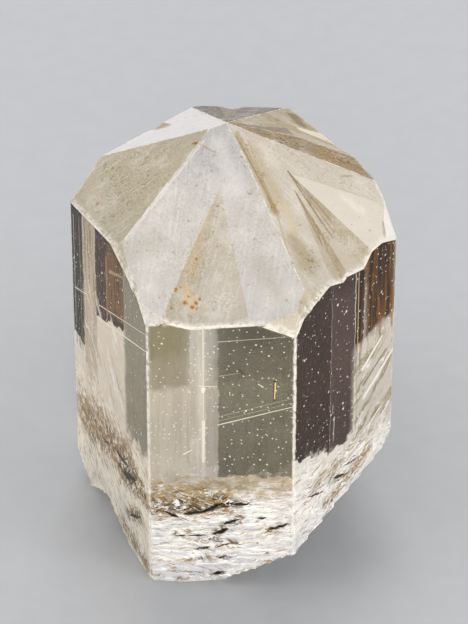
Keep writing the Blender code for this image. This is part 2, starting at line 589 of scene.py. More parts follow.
def keepInside(piece, box):
    # slivers that folded over at the rim may stand out a little and are set back
    for vertex in piece.data.vertices:
        vertex.co = [min(max(value, low), high) for value, low, high in zip(vertex.co, *box)]


def makeCrystal():
    piece = copySolid(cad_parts["crystal"], "phenakiteCrystal")
    wearEdges(piece)
    cutLattice(piece)
    worn = groupVertices(piece, "rim", lambda face: face.material_index == 1, crystalShape["rimEdge"])
    readSkins(piece)
    rough = groupVertices(piece, "break", onRoughBreak, crystalShape["breakEdge"])
    dome = groupVertices(piece, "dome", onDome)
    side = groupVertices(piece, "wall", onWall)
    wave(piece, worn, "CLOUDS", *crystalShape["rimNicks"])
    wave(piece, rough, "CLOUDS", *crystalShape["breakLumps"])
    wave(piece, rough, "VORONOI", *crystalShape["breakShells"], crystalShape["shellsHighest"])
    wave(piece, dome, "CLOUDS", *crystalShape["domeWaves"])
    wave(piece, side, "CLOUDS", *crystalShape["wallWaves"])
    keepInside(piece, cadBox)
    onlySelect(piece)
    bpy.ops.object.shade_smooth_by_angle(angle=math.radians(crystalShape["smoothBelow"]))
    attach(piece, "root")
    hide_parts("crystal")
    return piece


crystal = makeCrystal()
print("crystal ready:", len(crystal.data.polygons), "faces")


# The crystal's one material: clear glass-like stone under a frosted dome skin

stoneLook = {
    "transmission": 0.56,
    "letThrough": (0.93, 0.90, 0.85, 1.0),
    "refraction": 1.66,
    "shine": 0.02,
    "shineTint": (0.66, 0.52, 0.32, 1.0),
    "domeRoughness": 0.36,
    "wallRoughness": 0.04,
    "breakRoughness": 0.4,
    "cloudRoughness": 0.22,
    "rimRoughness": 0.4,
    "wallTint": (236, 231, 220),
    "rimTint": (252, 249, 242),
    "rimCover": (0.15, 0.9),
    "rimGrain": 2.6,
    "rimBetween": (0.42, 0.58),
    "reliefGrain": 5.0,
    "reliefStrength": 0.5,
    "uneven": {"scale": 1.6, "between": (0.25, 0.75), "across": 0.06, "upOverAcross": 3.5},
    "absorbed": (0.97, 0.93, 0.85, 1.0),
    "density": 40.0,
    "pitDepth": 0.03,
}

# Every wall ends below this height, and a patch that reaches it is open at its top.
wallTop = 17.0

# Patches of the side walls, partly the stone's own tint and partly painted light and shade, the light seen
# through and reflected in the clear walls: wall, left, right, low, high, rise of the lower edge, softness,
# colour.
tintAndLightPanes = {
    "creamFoot": ("front", 0.05, 6.54, 4.8, 8.2, 0.0, 0.1, (190, 177, 150)),
    "oliveLower": ("front", 0.05, 1.90, 5.2, wallTop, 0.0, 0.10, (194, 188, 175)),
    "oliveMiddle": ("front", 0.05, 1.90, 11.6, wallTop, 0.30, 0.3, (148, 142, 126)),
    "oliveUpper": ("front", 0.0, 1.90, 13.2, wallTop, 0.45, 0.55, (131, 126, 101)),
    "lightBand": ("front", 1.90, 3.15, 5.2, wallTop, 0.0, 0.04, (192, 186, 177)),
    "bandFoot": ("front", 1.94, 2.62, 5.2, 9.0, 0.0, 0.12, (212, 206, 197)),
    "bandShade": ("front", 2.62, 3.15, 7.4, wallTop, 0.0, 0.05, (175, 171, 164)),
    # a painted highlight stripe down the light band
    "bandHighlightStripe": ("front", 2.28, 2.50, 7.6, wallTop, 0.0, 0.12, (214, 207, 195)),
    "darkOlive": ("front", 3.15, 6.54, 6.8, wallTop, 0.06, 0.06, (107, 106, 96)),
    "darkUpper": ("front", 3.15, 6.54, 12.6, wallTop, 0.1, 0.5, (89, 86, 78)),
    "purpleNear": ("right", 0.05, 2.80, 8.0, wallTop, -0.55, 0.03, (27, 13, 10)),
    "purpleFar": ("right", 2.80, 4.64, 6.5, wallTop, -0.17, 0.03, (50, 34, 35)),
    "darkSliver": ("right", 4.68, 5.35, 9.8, wallTop, 0.0, 0.05, (3, 0, 0)),
    "brownTop": ("right", 5.35, 7.84, 11.4, wallTop, -0.2, 0.35, (22, 3, 0)),
    "paleFoot": ("right", 4.64, 8.0, 4.0, 11.4, -0.2, 0.35, (207, 203, 195)),
    "speckledEdge": ("left", 0.1, 1.4, 8.6, wallTop, 0.0, 0.05, (4, 2, 0)),
    "creamLine": ("left", 1.4, 2.9, 6.0, wallTop, 0.0, 0.06, (197, 182, 163)),
    "pinkCream": ("left", 2.9, 6.13, 5.5, 13.0, 0.0, 0.3, (233, 221, 206)),
    "brownPane": ("left", 2.9, 6.13, 11.5, wallTop, 0.50, 0.04, (26, 4, 0)),
    "brownCorner": ("left", 4.2, 6.13, 12.6, wallTop, 0.5, 0.1, (104, 60, 12)),
    "farRightOlive": ("backRight", 0.05, 3.3, 6.4, wallTop, 0.1, 0.05, (186, 178, 158)),
    "farRightBand": ("backRight", 4.1, 4.9, 6.0, wallTop, 0.0, 0.06, (206, 199, 184)),
    "farRightBrown": ("backRight", 6.9, 9.7, 10.4, wallTop, 0.35, 0.08, (140, 112, 70)),
    "backOlive": ("back", 0.1, 1.7, 7.0, wallTop, 0.2, 0.06, (156, 150, 130)),
    "backBand": ("back", 1.7, 2.3, 7.0, wallTop, 0.0, 0.05, (214, 207, 192)),
    "backShade": ("back", 2.3, 4.3, 9.2, wallTop, -0.4, 0.08, (128, 120, 98)),
    "farLeftShade": ("backLeft", 0.1, 2.6, 8.6, wallTop, 0.5, 0.1, (150, 126, 88)),
    "farLeftBand": ("backLeft", 3.4, 4.4, 6.0, wallTop, 0.0, 0.06, (208, 200, 184)),
    "farLeftOlive": ("backLeft", 6.2, 9.9, 6.6, wallTop, 0.2, 0.08, (176, 168, 148)),
    "plainStrip": ("left", 6.13, 8.63, 5.6, wallTop, 0.7, 0.2, (136, 132, 113)),
}

# Streaks in one of the thread patterns below: wall, left, right, low, high, rise of the lower edge,
# pattern, colour, strength
wallGrain = {
    "edgeDark": ("left", 0.1, 1.5, 8.0, wallTop, 0.0, "threads", (0, 0, 0), 0.9),
    "edgePale": ("left", 0.1, 1.5, 8.0, wallTop, 0.0, "sparks", (140, 122, 84), 0.2),
    "edgeWhite": ("left", 0.1, 1.5, 8.0, wallTop, 0.0, "glints", (255, 253, 246), 0.8),
    "creamBrown": ("left", 1.5, 2.9, 9.0, wallTop, 0.0, "threads", (140, 104, 60), 0.6),
    "creamWhite": ("left", 1.5, 2.9, 6.0, wallTop, 0.0, "glints", (252, 246, 234), 0.8),
    "paneDark": ("left", 2.9, 6.1, 11.8, wallTop, 0.5, "threads", (6, 1, 0), 0.85),
    "paneGold": ("left", 2.9, 6.1, 11.8, wallTop, 0.5, "sparks", (170, 102, 22), 0.45),
    "pinkWisps": ("left", 1.4, 6.1, 3.0, 12.6, 0.2, "wisps", (255, 253, 248), 0.8),
    "pinkDark": ("left", 1.4, 6.1, 3.0, 10.5, 0.2, "wispsDark", (150, 126, 84), 0.6),
    "stripDark": ("left", 6.1, 8.6, 8.0, wallTop, 0.0, "threads", (98, 92, 74), 0.35),
    "frontLeft": ("front", 0.0, 3.15, 5.4, wallTop, 0.0, "threads", (120, 112, 88), 0.22),
    "frontRight": ("front", 3.15, 6.6, 5.4, wallTop, 0.0, "threads", (70, 66, 52), 0.25),
    "purpleGrain": ("right", 0.05, 4.64, 6.0, wallTop, 0.0, "sparks", (84, 54, 44), 0.5),
    "sliverDark": ("right", 4.66, 5.6, 9.8, wallTop, 0.0, "threads", (4, 1, 0), 0.85),
    "sliverGold": ("right", 4.66, 5.6, 10.4, wallTop, 0.0, "glints", (176, 130, 62), 0.45),
    "topOrange": ("right", 5.2, 7.9, 10.9, wallTop, -0.2, "threads", (124, 66, 4), 0.7),
    "topPale": ("right", 5.35, 7.9, 10.9, wallTop, -0.2, "glints", (206, 156, 80), 0.3),
    "lowerOlive": ("right", 4.66, 8.2, 4.6, 10.9, 0.0, "slanted", (128, 114, 76), 0.75),
    "farRightGrain": ("backRight", 0.05, 5.0, 5.6, wallTop, 0.0, "threads", (120, 110, 84), 0.35),
    "farRightGold": ("backRight", 6.9, 9.8, 10.0, wallTop, 0.0, "sparks", (190, 150, 90), 0.5),
    "farRightWhite": ("backRight", 3.6, 10.8, 5.6, wallTop, 0.0, "glints", (252, 247, 236), 0.5),
    "backGrain": ("back", 0.05, 4.4, 5.6, wallTop, 0.0, "threads", (104, 96, 74), 0.35),
    "farLeftGrain": ("backLeft", 0.05, 4.6, 5.6, wallTop, 0.0, "threads", (112, 92, 58), 0.4),
    "farLeftWhite": ("backLeft", 3.0, 10.0, 5.6, wallTop, 0.0, "glints", (252, 247, 236), 0.5),
    "lowerWhite": ("right", 4.66, 8.2, 4.6, 10.9, 0.0, "slantedPale", (255, 255, 252), 0.9),
}

# Patterns of threads: how steeply they are turned over, stretch across and along them, where they
# start and are full
threadPatterns = {
    "threads": (0.0, (5.0, 0.22, 1.0), 0.47, 0.60),
    "sparks": (0.0, (6.0, 2.4, 1.0), 0.54, 0.66),
    "glints": (0.0, (8.0, 1.6, 1.0), 0.64, 0.70),
    "slanted": (-61.0, (2.6, 0.32, 1.0), 0.50, 0.62),
    "slantedPale": (-61.0, (3.4, 0.36, 1.0), 0.55, 0.63),
    "wisps": (36.0, (2.6, 0.34, 1.0), 0.53, 0.63),
    "wispsDark": (36.0, (3.6, 0.40, 1.0), 0.55, 0.66),
}

# How softly the streaks fade out at the border of their patch
grainSoftness = 0.3

# Dust on the walls, in two sizes
wallDust = {
    "fine": {"cells": 4.6, "radius": 0.20, "share": 0.75},
    "coarse": {"cells": 1.9, "radius": 0.13, "share": 0.7},
    "colour": (238, 236, 228),
}


def patchOn(tree, around, height, wall, left, right, low, high, rise, softness):
    # a pane, closed at the top where that is lower than the wall's own top
    start = walls[wall]["walked"]
    mask = useEffect(
        tree, pane, around=around, height=height, left=start + left, right=start + right, low=low, rise=rise,
        softness=softness)
    if high < wallTop:
        mask = calc(tree, "MULTIPLY", mask, ramp(tree, height, high + softness, high - softness))
    return mask


def paintWalls(tree, under, around, height):
    colour = under
    # the panes lay painted light and shade over the stone's own tint
    for *patch, shade in tintAndLightPanes.values():
        colour = blendColour(tree, patchOn(tree, around, height, *patch), colour, tone(*shade))
    return colour


def paintGrain(tree, colour, around, height):
    upright = addNode(tree, "ShaderNodeCombineXYZ")
    feed(tree, upright.inputs["X"], around)
    feed(tree, upright.inputs["Y"], height)
    patterns = {}
    for name, (turn, stretch, start, full) in threadPatterns.items():
        turned = addNode(tree, "ShaderNodeVectorRotate", rotation_type="Z_AXIS")
        feed(tree, turned.inputs["Vector"], upright.outputs["Vector"])
        feed(tree, turned.inputs["Angle"], -math.radians(turn))
        patterns[name] = useEffect(
            tree, streaks, place=turned.outputs["Vector"], stretch=stretch, low=start, high=full)
    for *patch, pattern, shade, strength in wallGrain.values():
        mask = patchOn(tree, around, height, *patch, grainSoftness)
        mask = calc(tree, "MULTIPLY", calc(tree, "MULTIPLY", mask, patterns[pattern]), strength)
        colour = blendColour(tree, mask, colour, tone(*shade))
    return colour


# Scratches and needles on or just under the side walls, and painted highlights down the front wall's light
# band: start, end, width, colour
wallLines = {
    "frontHigh": ((0.06, atFront, 14.74), (3.21, atFront, 15.3), 0.035, (190, 188, 170)),
    "frontUpper": ((0.1, atFront, 12.75), (1.0, atFront, 13.0), 0.03, (160, 158, 140)),
    "frontMiddle": ((0.05, atFront, 10.35), (3.3, atFront, 11.7), 0.025, (170, 168, 150)),
    "frontLower": ((0.06, atFront, 10.1), (3.3, atFront, 11.45), 0.025, (165, 163, 146)),
    "frontLowest": ((0.05, atFront, 9.87), (3.45, atFront, 11.26), 0.05, (222, 220, 206)),
    "goldNeedleRim": ((2.58, atFront, 12.66), (2.56, atFront, 11.56), 0.085, (46, 34, 14)),
    "goldNeedle": ((2.60, atFront, 12.58), (2.57, atFront, 11.64), 0.045, (255, 226, 150)),
    "brownNeedle": ((0.98, atFront, 13.24), (1.28, atFront, 12.90), 0.05, (70, 40, 10)),
    "whiteCurl": ((1.86, atFront, 12.42), (2.08, atFront, 12.28), 0.05, (220, 218, 206)),
    "hookWhite": ((-1.50, atFront, 7.98), (-1.15, atFront, 8.26), 0.05, (255, 253, 246)),
    "bandLine": ((-0.80, atFront, 12.10), (-0.02, atFront, 12.12), 0.05, (238, 232, 220)),
    # painted highlights down the light band
    "bandHighlight": ((-0.60, atFront, 15.6), (-0.61, atFront, 8.6), 0.06, (232, 226, 212)),
    "bandHighlightLow": ((-0.60, atFront, 10.0), (-0.62, atFront, 7.6), 0.11, (255, 250, 240)),
    "bandHighlightSpot": ((-0.60, atFront, 11.95), (-0.62, atFront, 11.75), 0.14, (255, 253, 248)),
    "backLong": ((1.2, atBack, 13.4), (-2.2, atBack, 12.0), 0.04, (226, 222, 208)),
    "farLeftLong": ((-3.0, 7.06, 14.2), (-6.4, 1.17, 11.6), 0.04, (232, 226, 210)),
    "farRightLong": ((6.9, -0.34, 11.2), (3.4, 5.72, 13.0), 0.04, (232, 228, 214)),
    "leftLong": ((-5.82, -3.41, 12.43), (-3.15, -8.03, 14.80), 0.04, (232, 224, 206)),
    "leftPaneEdge": ((-5.97, -3.17, 11.50), (-3.13, -8.07, 13.85), 0.06, (252, 246, 232)),
    "leftPaneEdgeLow": ((-5.90, -3.30, 11.15), (-4.33, -5.99, 12.45), 0.045, (244, 234, 216)),
    "edgeLine": ((-7.24, -0.95, 15.6), (-7.24, -0.95, 9.2), 0.04, (206, 200, 184)),
    "edgeLineInner": ((-6.90, -1.54, 15.9), (-6.90, -1.54, 8.8), 0.04, (160, 140, 100)),
    "leftFirst": ((-7.26, -0.93, 11.3), (-6.59, -2.08, 11.9), 0.05, (232, 226, 212)),
    "leftFoot": ((-7.25, -0.94, 7.75), (-6.64, -1.99, 8.15), 0.06, (240, 236, 226)),
    "paneUpright": ((-5.35, -4.23, 15.9), (-5.35, -4.23, 12.3), 0.10, (150, 112, 58)),
    "paneTop": ((-5.15, -4.58, 15.4), (-4.31, -6.04, 16.3), 0.13, (160, 134, 92)),
    "slantWhite": ((6.24, -3.35, 7.9), (7.40, -1.35, 9.2), 0.16, (255, 255, 252)),
    "slantWhiteHigh": ((6.16, -3.49, 9.7), (6.90, -2.20, 10.6), 0.14, (255, 255, 250)),
    "slantOlive": ((6.20, -3.42, 8.7), (7.10, -1.86, 9.6), 0.10, (120, 108, 72)),
    "slantBrown": ((6.60, -2.73, 6.2), (7.42, -1.31, 6.9), 0.09, (150, 120, 72)),
    "rightWhite": ((5.05, -5.42, 8.4), (5.03, -5.45, 7.0), 0.04, (214, 206, 200)),
    "rightShort": ((4.99, -5.52, 9.2), (4.98, -5.53, 8.7), 0.035, (198, 190, 184)),
    "rightPaneEdge": ((5.93, -3.90, 16.0), (5.93, -3.90, 6.4), 0.05, (206, 158, 104)),
}


lineLook = {"taper": 0.6, "softness": 0.6}


def paintLines(tree, colour, place):
    for start, end, width, shade in wallLines.values():
        mask = useEffect(
            tree, stroke, place=place, start=start, end=end, startWidth=width,
            endWidth=width * lineLook["taper"], softness=lineLook["softness"])
        colour = blendColour(tree, mask, colour, tone(*shade))
    return colour


# Pale crumbs along the upright edges between two walls, and along the dome's border above the walls
cornerLook = {
    "reach": 0.15, "full": 0.06, "grain": 3.6, "between": (0.44, 0.56), "colour": (248, 245, 236),
    "cover": 0.9}
borderLook = {
    "reach": 0.26, "full": 0.05, "grain": 5.0, "between": (0.45, 0.54), "colour": (253, 251, 246),
    "cover": 0.75}


def paintCorners(tree, colour, around, place):
    crumbs = ramp(tree, noise(tree, place, cornerLook["grain"], 3.0), *cornerLook["between"])
    for wall in walls.values():
        away = calc(tree, "ABSOLUTE", calc(tree, "SUBTRACT", around, wall["walked"]))
        near = ramp(tree, away, cornerLook["reach"], cornerLook["full"])
        mask = calc(tree, "MULTIPLY", calc(tree, "MULTIPLY", near, crumbs), cornerLook["cover"])
        colour = blendColour(tree, mask, colour, tone(*cornerLook["colour"]))
    return colour


def paintDust(tree, colour, place):
    for size in ("fine", "coarse"):
        mask = useEffect(tree, speckle, place=place, **wallDust[size])
        colour = blendColour(tree, mask, colour, tone(*wallDust["colour"]))
    return colour


# The clouded lower end: its ground, and layers of strands: colour, stretch along and across, where they
# start and are full, which gathering brings out more of them and by how much, strength
cloudLook = {
    "blur": 0.5,
    "borderWaves": {"scale": 1.1, "between": (0.3, 0.7), "reach": 0.7},
    "warmWhite": (255, 238, 204),
    "ground": (255, 255, 255),
    # the darker tan along the clouded end's upper border
    "top": (156, 138, 98),
    "topReach": (-0.1, 1.5),
    "topCover": 0.65,
    "bends": (0.42, 2.0),
    "frayed": (3.0, 0.30),
    "bladesFrayed": (5.0, 0.22),
    "net": {"scale": 1.7, "from": 0.055, "full": 0.02, "colour": (34, 24, 8)},
    "sparkles": {"cells": 3.4, "radius": 0.30, "share": 0.75, "colour": (255, 253, 246)},
    "strands": {
        "haze": ((132, 100, 4), (0.45, 1.5, 1.0), 0.72, 0.98, "brown", 0.36, 0.74),
        "grey": ((200, 201, 203), (1.7, 7.0, 1.0), 0.48, 0.58, "brown", 0.02, 0.65),
        "warm": ((168, 130, 54), (1.5, 7.0, 1.0), 0.585, 0.64, "brown", 0.09, 0.75),
        "brown": ((98, 68, 14), (2.1, 8.0, 1.0), 0.635, 0.68, "dark", 0.15, 0.95),
        "black": ((12, 8, 3), (1.8, 10.0, 1.0), 0.675, 0.715, "dark", 0.15, 1.0),
        "white": ((255, 255, 255), (2.8, 8.0, 1.0), 0.56, 0.60, "dark", 0.04, 0.95),
    },
}

# Where dark inclusions gather in the clouded end: start, end, reach, how dark, how brown
darkGatherings = {
    "frontTop": ((-3.9, atFront, 6.3), (4.6, atFront, 6.8), 0.9, 0.0, 0.6),
    "frontHaze": ((-2.4, atFront, 5.9), (-0.2, atFront, 6.0), 1.1, 0.1, 1.3),
    "frontMain": ((-2.8, atFront, 4.7), (0.4, atFront, 5.2), 1.35, 0.62, 1.5),
    "frontTail": ((0.3, atFront, 5.05), (1.5, atFront, 5.24), 0.3, 0.7, 0.5),
    "frontMiddle": ((-0.2, atFront, 3.2), (1.0, atFront, 4.15), 0.5, 0.8, 0.8),
    "frontRight": ((2.3, atFront, 3.7), (3.25, atFront, 4.15), 0.3, 0.5, 0.3),
    "frontLower": ((-1.9, atFront, 2.95), (0.8, atFront, 2.75), 0.35, 0.5, 0.5),
    "frontLowest": ((-1.5, atFront, 1.55), (0.5, atFront, 1.85), 0.3, 0.4, 0.8),
    "bottomSpot": ((-0.2, atFront, 0.75), (0.2, atFront, 0.85), 0.3, 1.0, 1.0),
    "rightUpper": ((4.4, -6.6, 5.2), (6.6, -2.8, 5.4), 0.9, 0.25, 0.9),
    "leftMain": ((-4.6, -5.6, 4.5), (-3.7, -7.1, 4.9), 1.3, 0.9, 1.6),
    "leftHigh": ((-6.8, -1.7, 4.3), (-4.4, -5.9, 5.4), 2.2, 0.5, 1.9),
    "leftLow": ((-4.3, -6.0, 2.2), (-3.6, -7.2, 3.1), 0.7, 0.7, 1.2),
    "leftRim": ((-4.6, -5.2, 1.0), (-3.2, -7.8, 0.6), 0.8, 0.4, 1.3),
    "rightBlade": ((4.9, -5.6, 4.6), (5.5, -4.7, 4.3), 0.35, 0.6, 0.5),
    "rightFar": ((6.9, -2.2, 7.5), (7.4, -1.3, 7.2), 0.6, 0.4, 0.9),
    "rightMiddle": ((6.3, -3.2, 7.2), (7.2, -1.8, 6.7), 0.35, 0.3, 0.8),
    "rightRim": ((4.8, -5.8, 3.4), (6.4, -3.0, 4.4), 0.8, 0.35, 1.2),
}

# Single blades in the clouded end: start, end, width, colour
bladeLook = {"swell": 1.2, "softness": 0.6, "spindle": 0.8}
bladeShades = {"black": (12, 9, 5), "brown": (84, 44, 18), "white": (255, 255, 255)}
blades = (
    ((0.63, atFront, 5.09), (1.52, atFront, 5.24), 0.11, "black"),
    ((-0.68, atFront, 4.48), (0.21, atFront, 5.15), 0.17, "black"),
    ((-2.41, atFront, 4.39), (-1.73, atFront, 4.09), 0.12, "black"),
    ((-1.52, atFront, 4.33), (-0.47, atFront, 4.57), 0.15, "black"),
    ((-0.21, atFront, 3.16), (0.52, atFront, 3.66), 0.15, "black"),
    ((0.26, atFront, 3.85), (1.00, atFront, 4.23), 0.11, "black"),
    ((1.83, atFront, 4.34), (2.25, atFront, 4.43), 0.07, "black"),
    ((2.31, atFront, 3.68), (3.24, atFront, 4.16), 0.12, "black"),
    ((1.35, atFront, 3.30), (2.25, atFront, 3.68), 0.11, "white"),
    ((-1.95, atFront, 2.96), (-1.42, atFront, 3.02), 0.07, "black"),
    ((-1.32, atFront, 2.99), (-0.47, atFront, 3.14), 0.07, "black"),
    ((-1.01, atFront, 2.19), (-0.27, atFront, 2.44), 0.08, "black"),
    ((-0.11, atFront, 2.39), (0.79, atFront, 2.79), 0.07, "brown"),
    ((0.05, atFront, 1.75), (0.47, atFront, 1.89), 0.07, "brown"),
    ((-0.22, atFront, 0.71), (0.26, atFront, 0.86), 0.13, "black"),
    ((5.05, -5.41, 4.65), (5.47, -4.68, 4.28), 0.13, "black"),
    ((4.04, -7.16, 4.95), (4.69, -6.04, 4.41), 0.09, "brown"),
    ((5.42, -4.78, 4.81), (6.17, -3.48, 4.42), 0.08, "brown"),
    ((6.96, -2.11, 7.38), (7.43, -1.30, 7.41), 0.09, "black"),
    ((6.31, -3.23, 7.18), (7.16, -1.76, 6.67), 0.08, "brown"),
    ((-4.68, -5.39, 4.18), (-3.87, -6.80, 4.96), 0.22, "black"),
    ((-4.32, -6.02, 2.13), (-3.64, -7.20, 3.04), 0.10, "black"),
    ((-5.89, -3.30, 4.40), (-5.41, -4.13, 4.61), 0.14, "brown"),
    ((-5.07, -4.72, 4.82), (-4.26, -6.12, 5.16), 0.12, "black"),
    ((-7.17, -1.08, 7.65), (-6.76, -1.79, 7.52), 0.10, "brown"),
)


def cloudedEnd(tree, around, height, place):
    # the part under a wavy level that runs on from wall to wall, and the part just under that level that is
    # painted darker tan
    level, topDarkening, warmth = 0.0, 0.0, 0.0
    for name, field in strandFields.items():
        wall = walls[name]
        across = calc(tree, "SUBTRACT", around, wall["walked"])
        share = within(tree, calc(tree, "DIVIDE", across, wall["length"]))
        climb = calc(tree, "MULTIPLY", share, field["high"][1] - field["high"][0])
        here = calc(
            tree, "MULTIPLY", calc(tree, "GREATER_THAN", around, wall["walked"]),
            calc(tree, "LESS_THAN", around, wall["walked"] + wall["length"]))
        high = calc(tree, "ADD", climb, field["high"][0])
        level = calc(tree, "ADD", level, calc(tree, "MULTIPLY", here, high))
        topDarkening = calc(tree, "ADD", topDarkening, calc(tree, "MULTIPLY", here, field["topDarkening"]))
        warmth = calc(tree, "ADD", warmth, calc(tree, "MULTIPLY", here, field["warmth"]))
    waves = cloudLook["borderWaves"]
    swell = noise(tree, place, waves["scale"], 5.0, 0.7)
    swell = ramp(tree, swell, *waves["between"], -waves["reach"], waves["reach"])
    wavy = calc(tree, "ADD", level, swell)
    under, blur = calc(tree, "SUBTRACT", wavy, height), cloudLook["blur"]
    shallow = calc(tree, "MULTIPLY", ramp(tree, under, *cloudLook["topReach"], 1.0, 0.0), topDarkening)
    return ramp(tree, under, -blur, blur), shallow, warmth


def gatherDark(tree, place):
    dark, brown = 0.0, 0.0
    for start, end, reach, darkness, brownness in darkGatherings.values():
        mask = useEffect(
            tree, stroke, place=place, start=start, end=end, startWidth=reach, endWidth=reach, softness=1.0)
        dark = calc(tree, "ADD", dark, calc(tree, "MULTIPLY", mask, darkness))
        brown = calc(tree, "ADD", brown, calc(tree, "MULTIPLY", mask, brownness))
    return dark, brown


def paintCloud(tree, strandPlace, place, shallow):
    # the strands wave about: their place is shifted to the side by a slow noise
    scale, swing = cloudLook["bends"]
    aside = calc(tree, "MULTIPLY", calc(tree, "SUBTRACT", noise(tree, place, scale, 2.0), 0.5), swing)
    shift = addNode(tree, "ShaderNodeCombineXYZ")
    feed(tree, shift.inputs["Y"], aside)
    bent = shaken(tree, vectorCalc(tree, "ADD", strandPlace, shift.outputs["Vector"]), *cloudLook["frayed"])
    frayed = shaken(tree, place, *cloudLook["bladesFrayed"])
    gathered = dict(zip(("dark", "brown"), gatherDark(tree, place)))
    colour = tone(*cloudLook["ground"])
    for shade, stretch, low, high, kind, more, strength in cloudLook["strands"].values():
        sooner = calc(tree, "MULTIPLY", gathered[kind], more)
        strands = useEffect(
            tree, streaks, place=bent, stretch=stretch, low=calc(tree, "SUBTRACT", low, sooner),
            high=calc(tree, "SUBTRACT", high, sooner))
        colour = blendColour(tree, calc(tree, "MULTIPLY", strands, strength), colour, tone(*shade))
    border = calc(tree, "MULTIPLY", shallow, cloudLook["topCover"])
    colour = blendColour(tree, border, colour, tone(*cloudLook["top"]))
    # where it is darkest the strands tangle into a net with sparkling grains
    tangled = within(tree, gathered["dark"])
    net = cloudLook["net"]
    vein = calc(tree, "ABSOLUTE", calc(tree, "SUBTRACT", noise(tree, frayed, net["scale"], 3.0, 0.6), 0.5))
    mask = calc(tree, "MULTIPLY", ramp(tree, vein, net["from"], net["full"]), tangled)
    colour = blendColour(tree, mask, colour, tone(*net["colour"]))
    grains = cloudLook["sparkles"]
    mask = useEffect(tree, speckle, place=frayed, **sizesOf(grains))
    colour = blendColour(tree, calc(tree, "MULTIPLY", mask, tangled), colour, tone(*grains["colour"]))
    for start, end, width, shade in blades:
        wide = width * bladeLook["swell"]
        mask = useEffect(
            tree, stroke, place=frayed, start=start, end=end, startWidth=wide, endWidth=wide,
            softness=bladeLook["softness"], spindle=bladeLook["spindle"])
        colour = blendColour(tree, mask, colour, tone(*bladeShades[shade]))
    return colour


# The frosted dome: haze, streaks that run down each facet, pits, and mottled facets
domeLook = {
    "haze": {"colour": (240, 238, 236), "strength": 0.3, "scale": 0.8, "between": (0.48, 0.66)},
    "threads": (((0.25, 5.0, 1.0), (150, 138, 112), 0.14), ((0.45, 7.5, 3.0), (255, 255, 255), 0.28)),
    "frost": {
        "scale": 10.0, "dark": (130, 114, 84), "darkCover": 0.12, "pale": (255, 254, 252), "paleCover": 0.15},
    "pits": {"cells": 3.4, "radius": 0.19, "share": 0.55, "colour": (136, 120, 90), "strength": 0.5},
    "flecks": {"cells": 4.4, "radius": 0.15, "share": 0.35, "colour": (252, 250, 246), "strength": 0.5},
    "frayed": (3.0, 0.5),
    "unsteady": (7.0, 0.10),
    "crumbly": (8.0, 0.22),
    "threadsBetween": (0.5, 0.72),
    "frostBetween": (0.36, 0.64),
    "mottles": (5.0, 0.52, 0.62),
    "mottledPatches": (1.1, 0.42, 0.6),
    "wideFrom": 0.2,
    "crispTo": 0.6,
}

# Facets with fine dark grains: colour, strength
mottledFacets = {
    "left": ((122, 110, 74), 0.45),
    "front": ((168, 158, 140), 0.42),
    "kiteRight": ((160, 142, 104), 0.30),
    "rightHigh": ((156, 140, 110), 0.35),
    "backLeft": ((178, 168, 156), 0.25),
    "rightBack": ((78, 56, 18), 0.95),
    "back": ((76, 52, 18), 0.8),
    "lowBack": ((110, 88, 48), 0.7),
    "stepHigh": ((82, 60, 26), 0.85),
    "notchLeft": ((140, 122, 88), 0.6),
    "innerNotchRight": ((150, 134, 100), 0.5),
    "kiteLeft": ((146, 126, 90), 0.45),
}

# Painted highlights: wedges of a lighter colour on one facet: start, end, width at the start and the end,
# softness, colour, strength
facetHighlightWedges = {
    "rightLow": ((2.48, -1.17, 18.96), (6.1, -1.7, 16.7), 0.03, 1.38, 0.12, (222, 217, 208), 0.7),
}
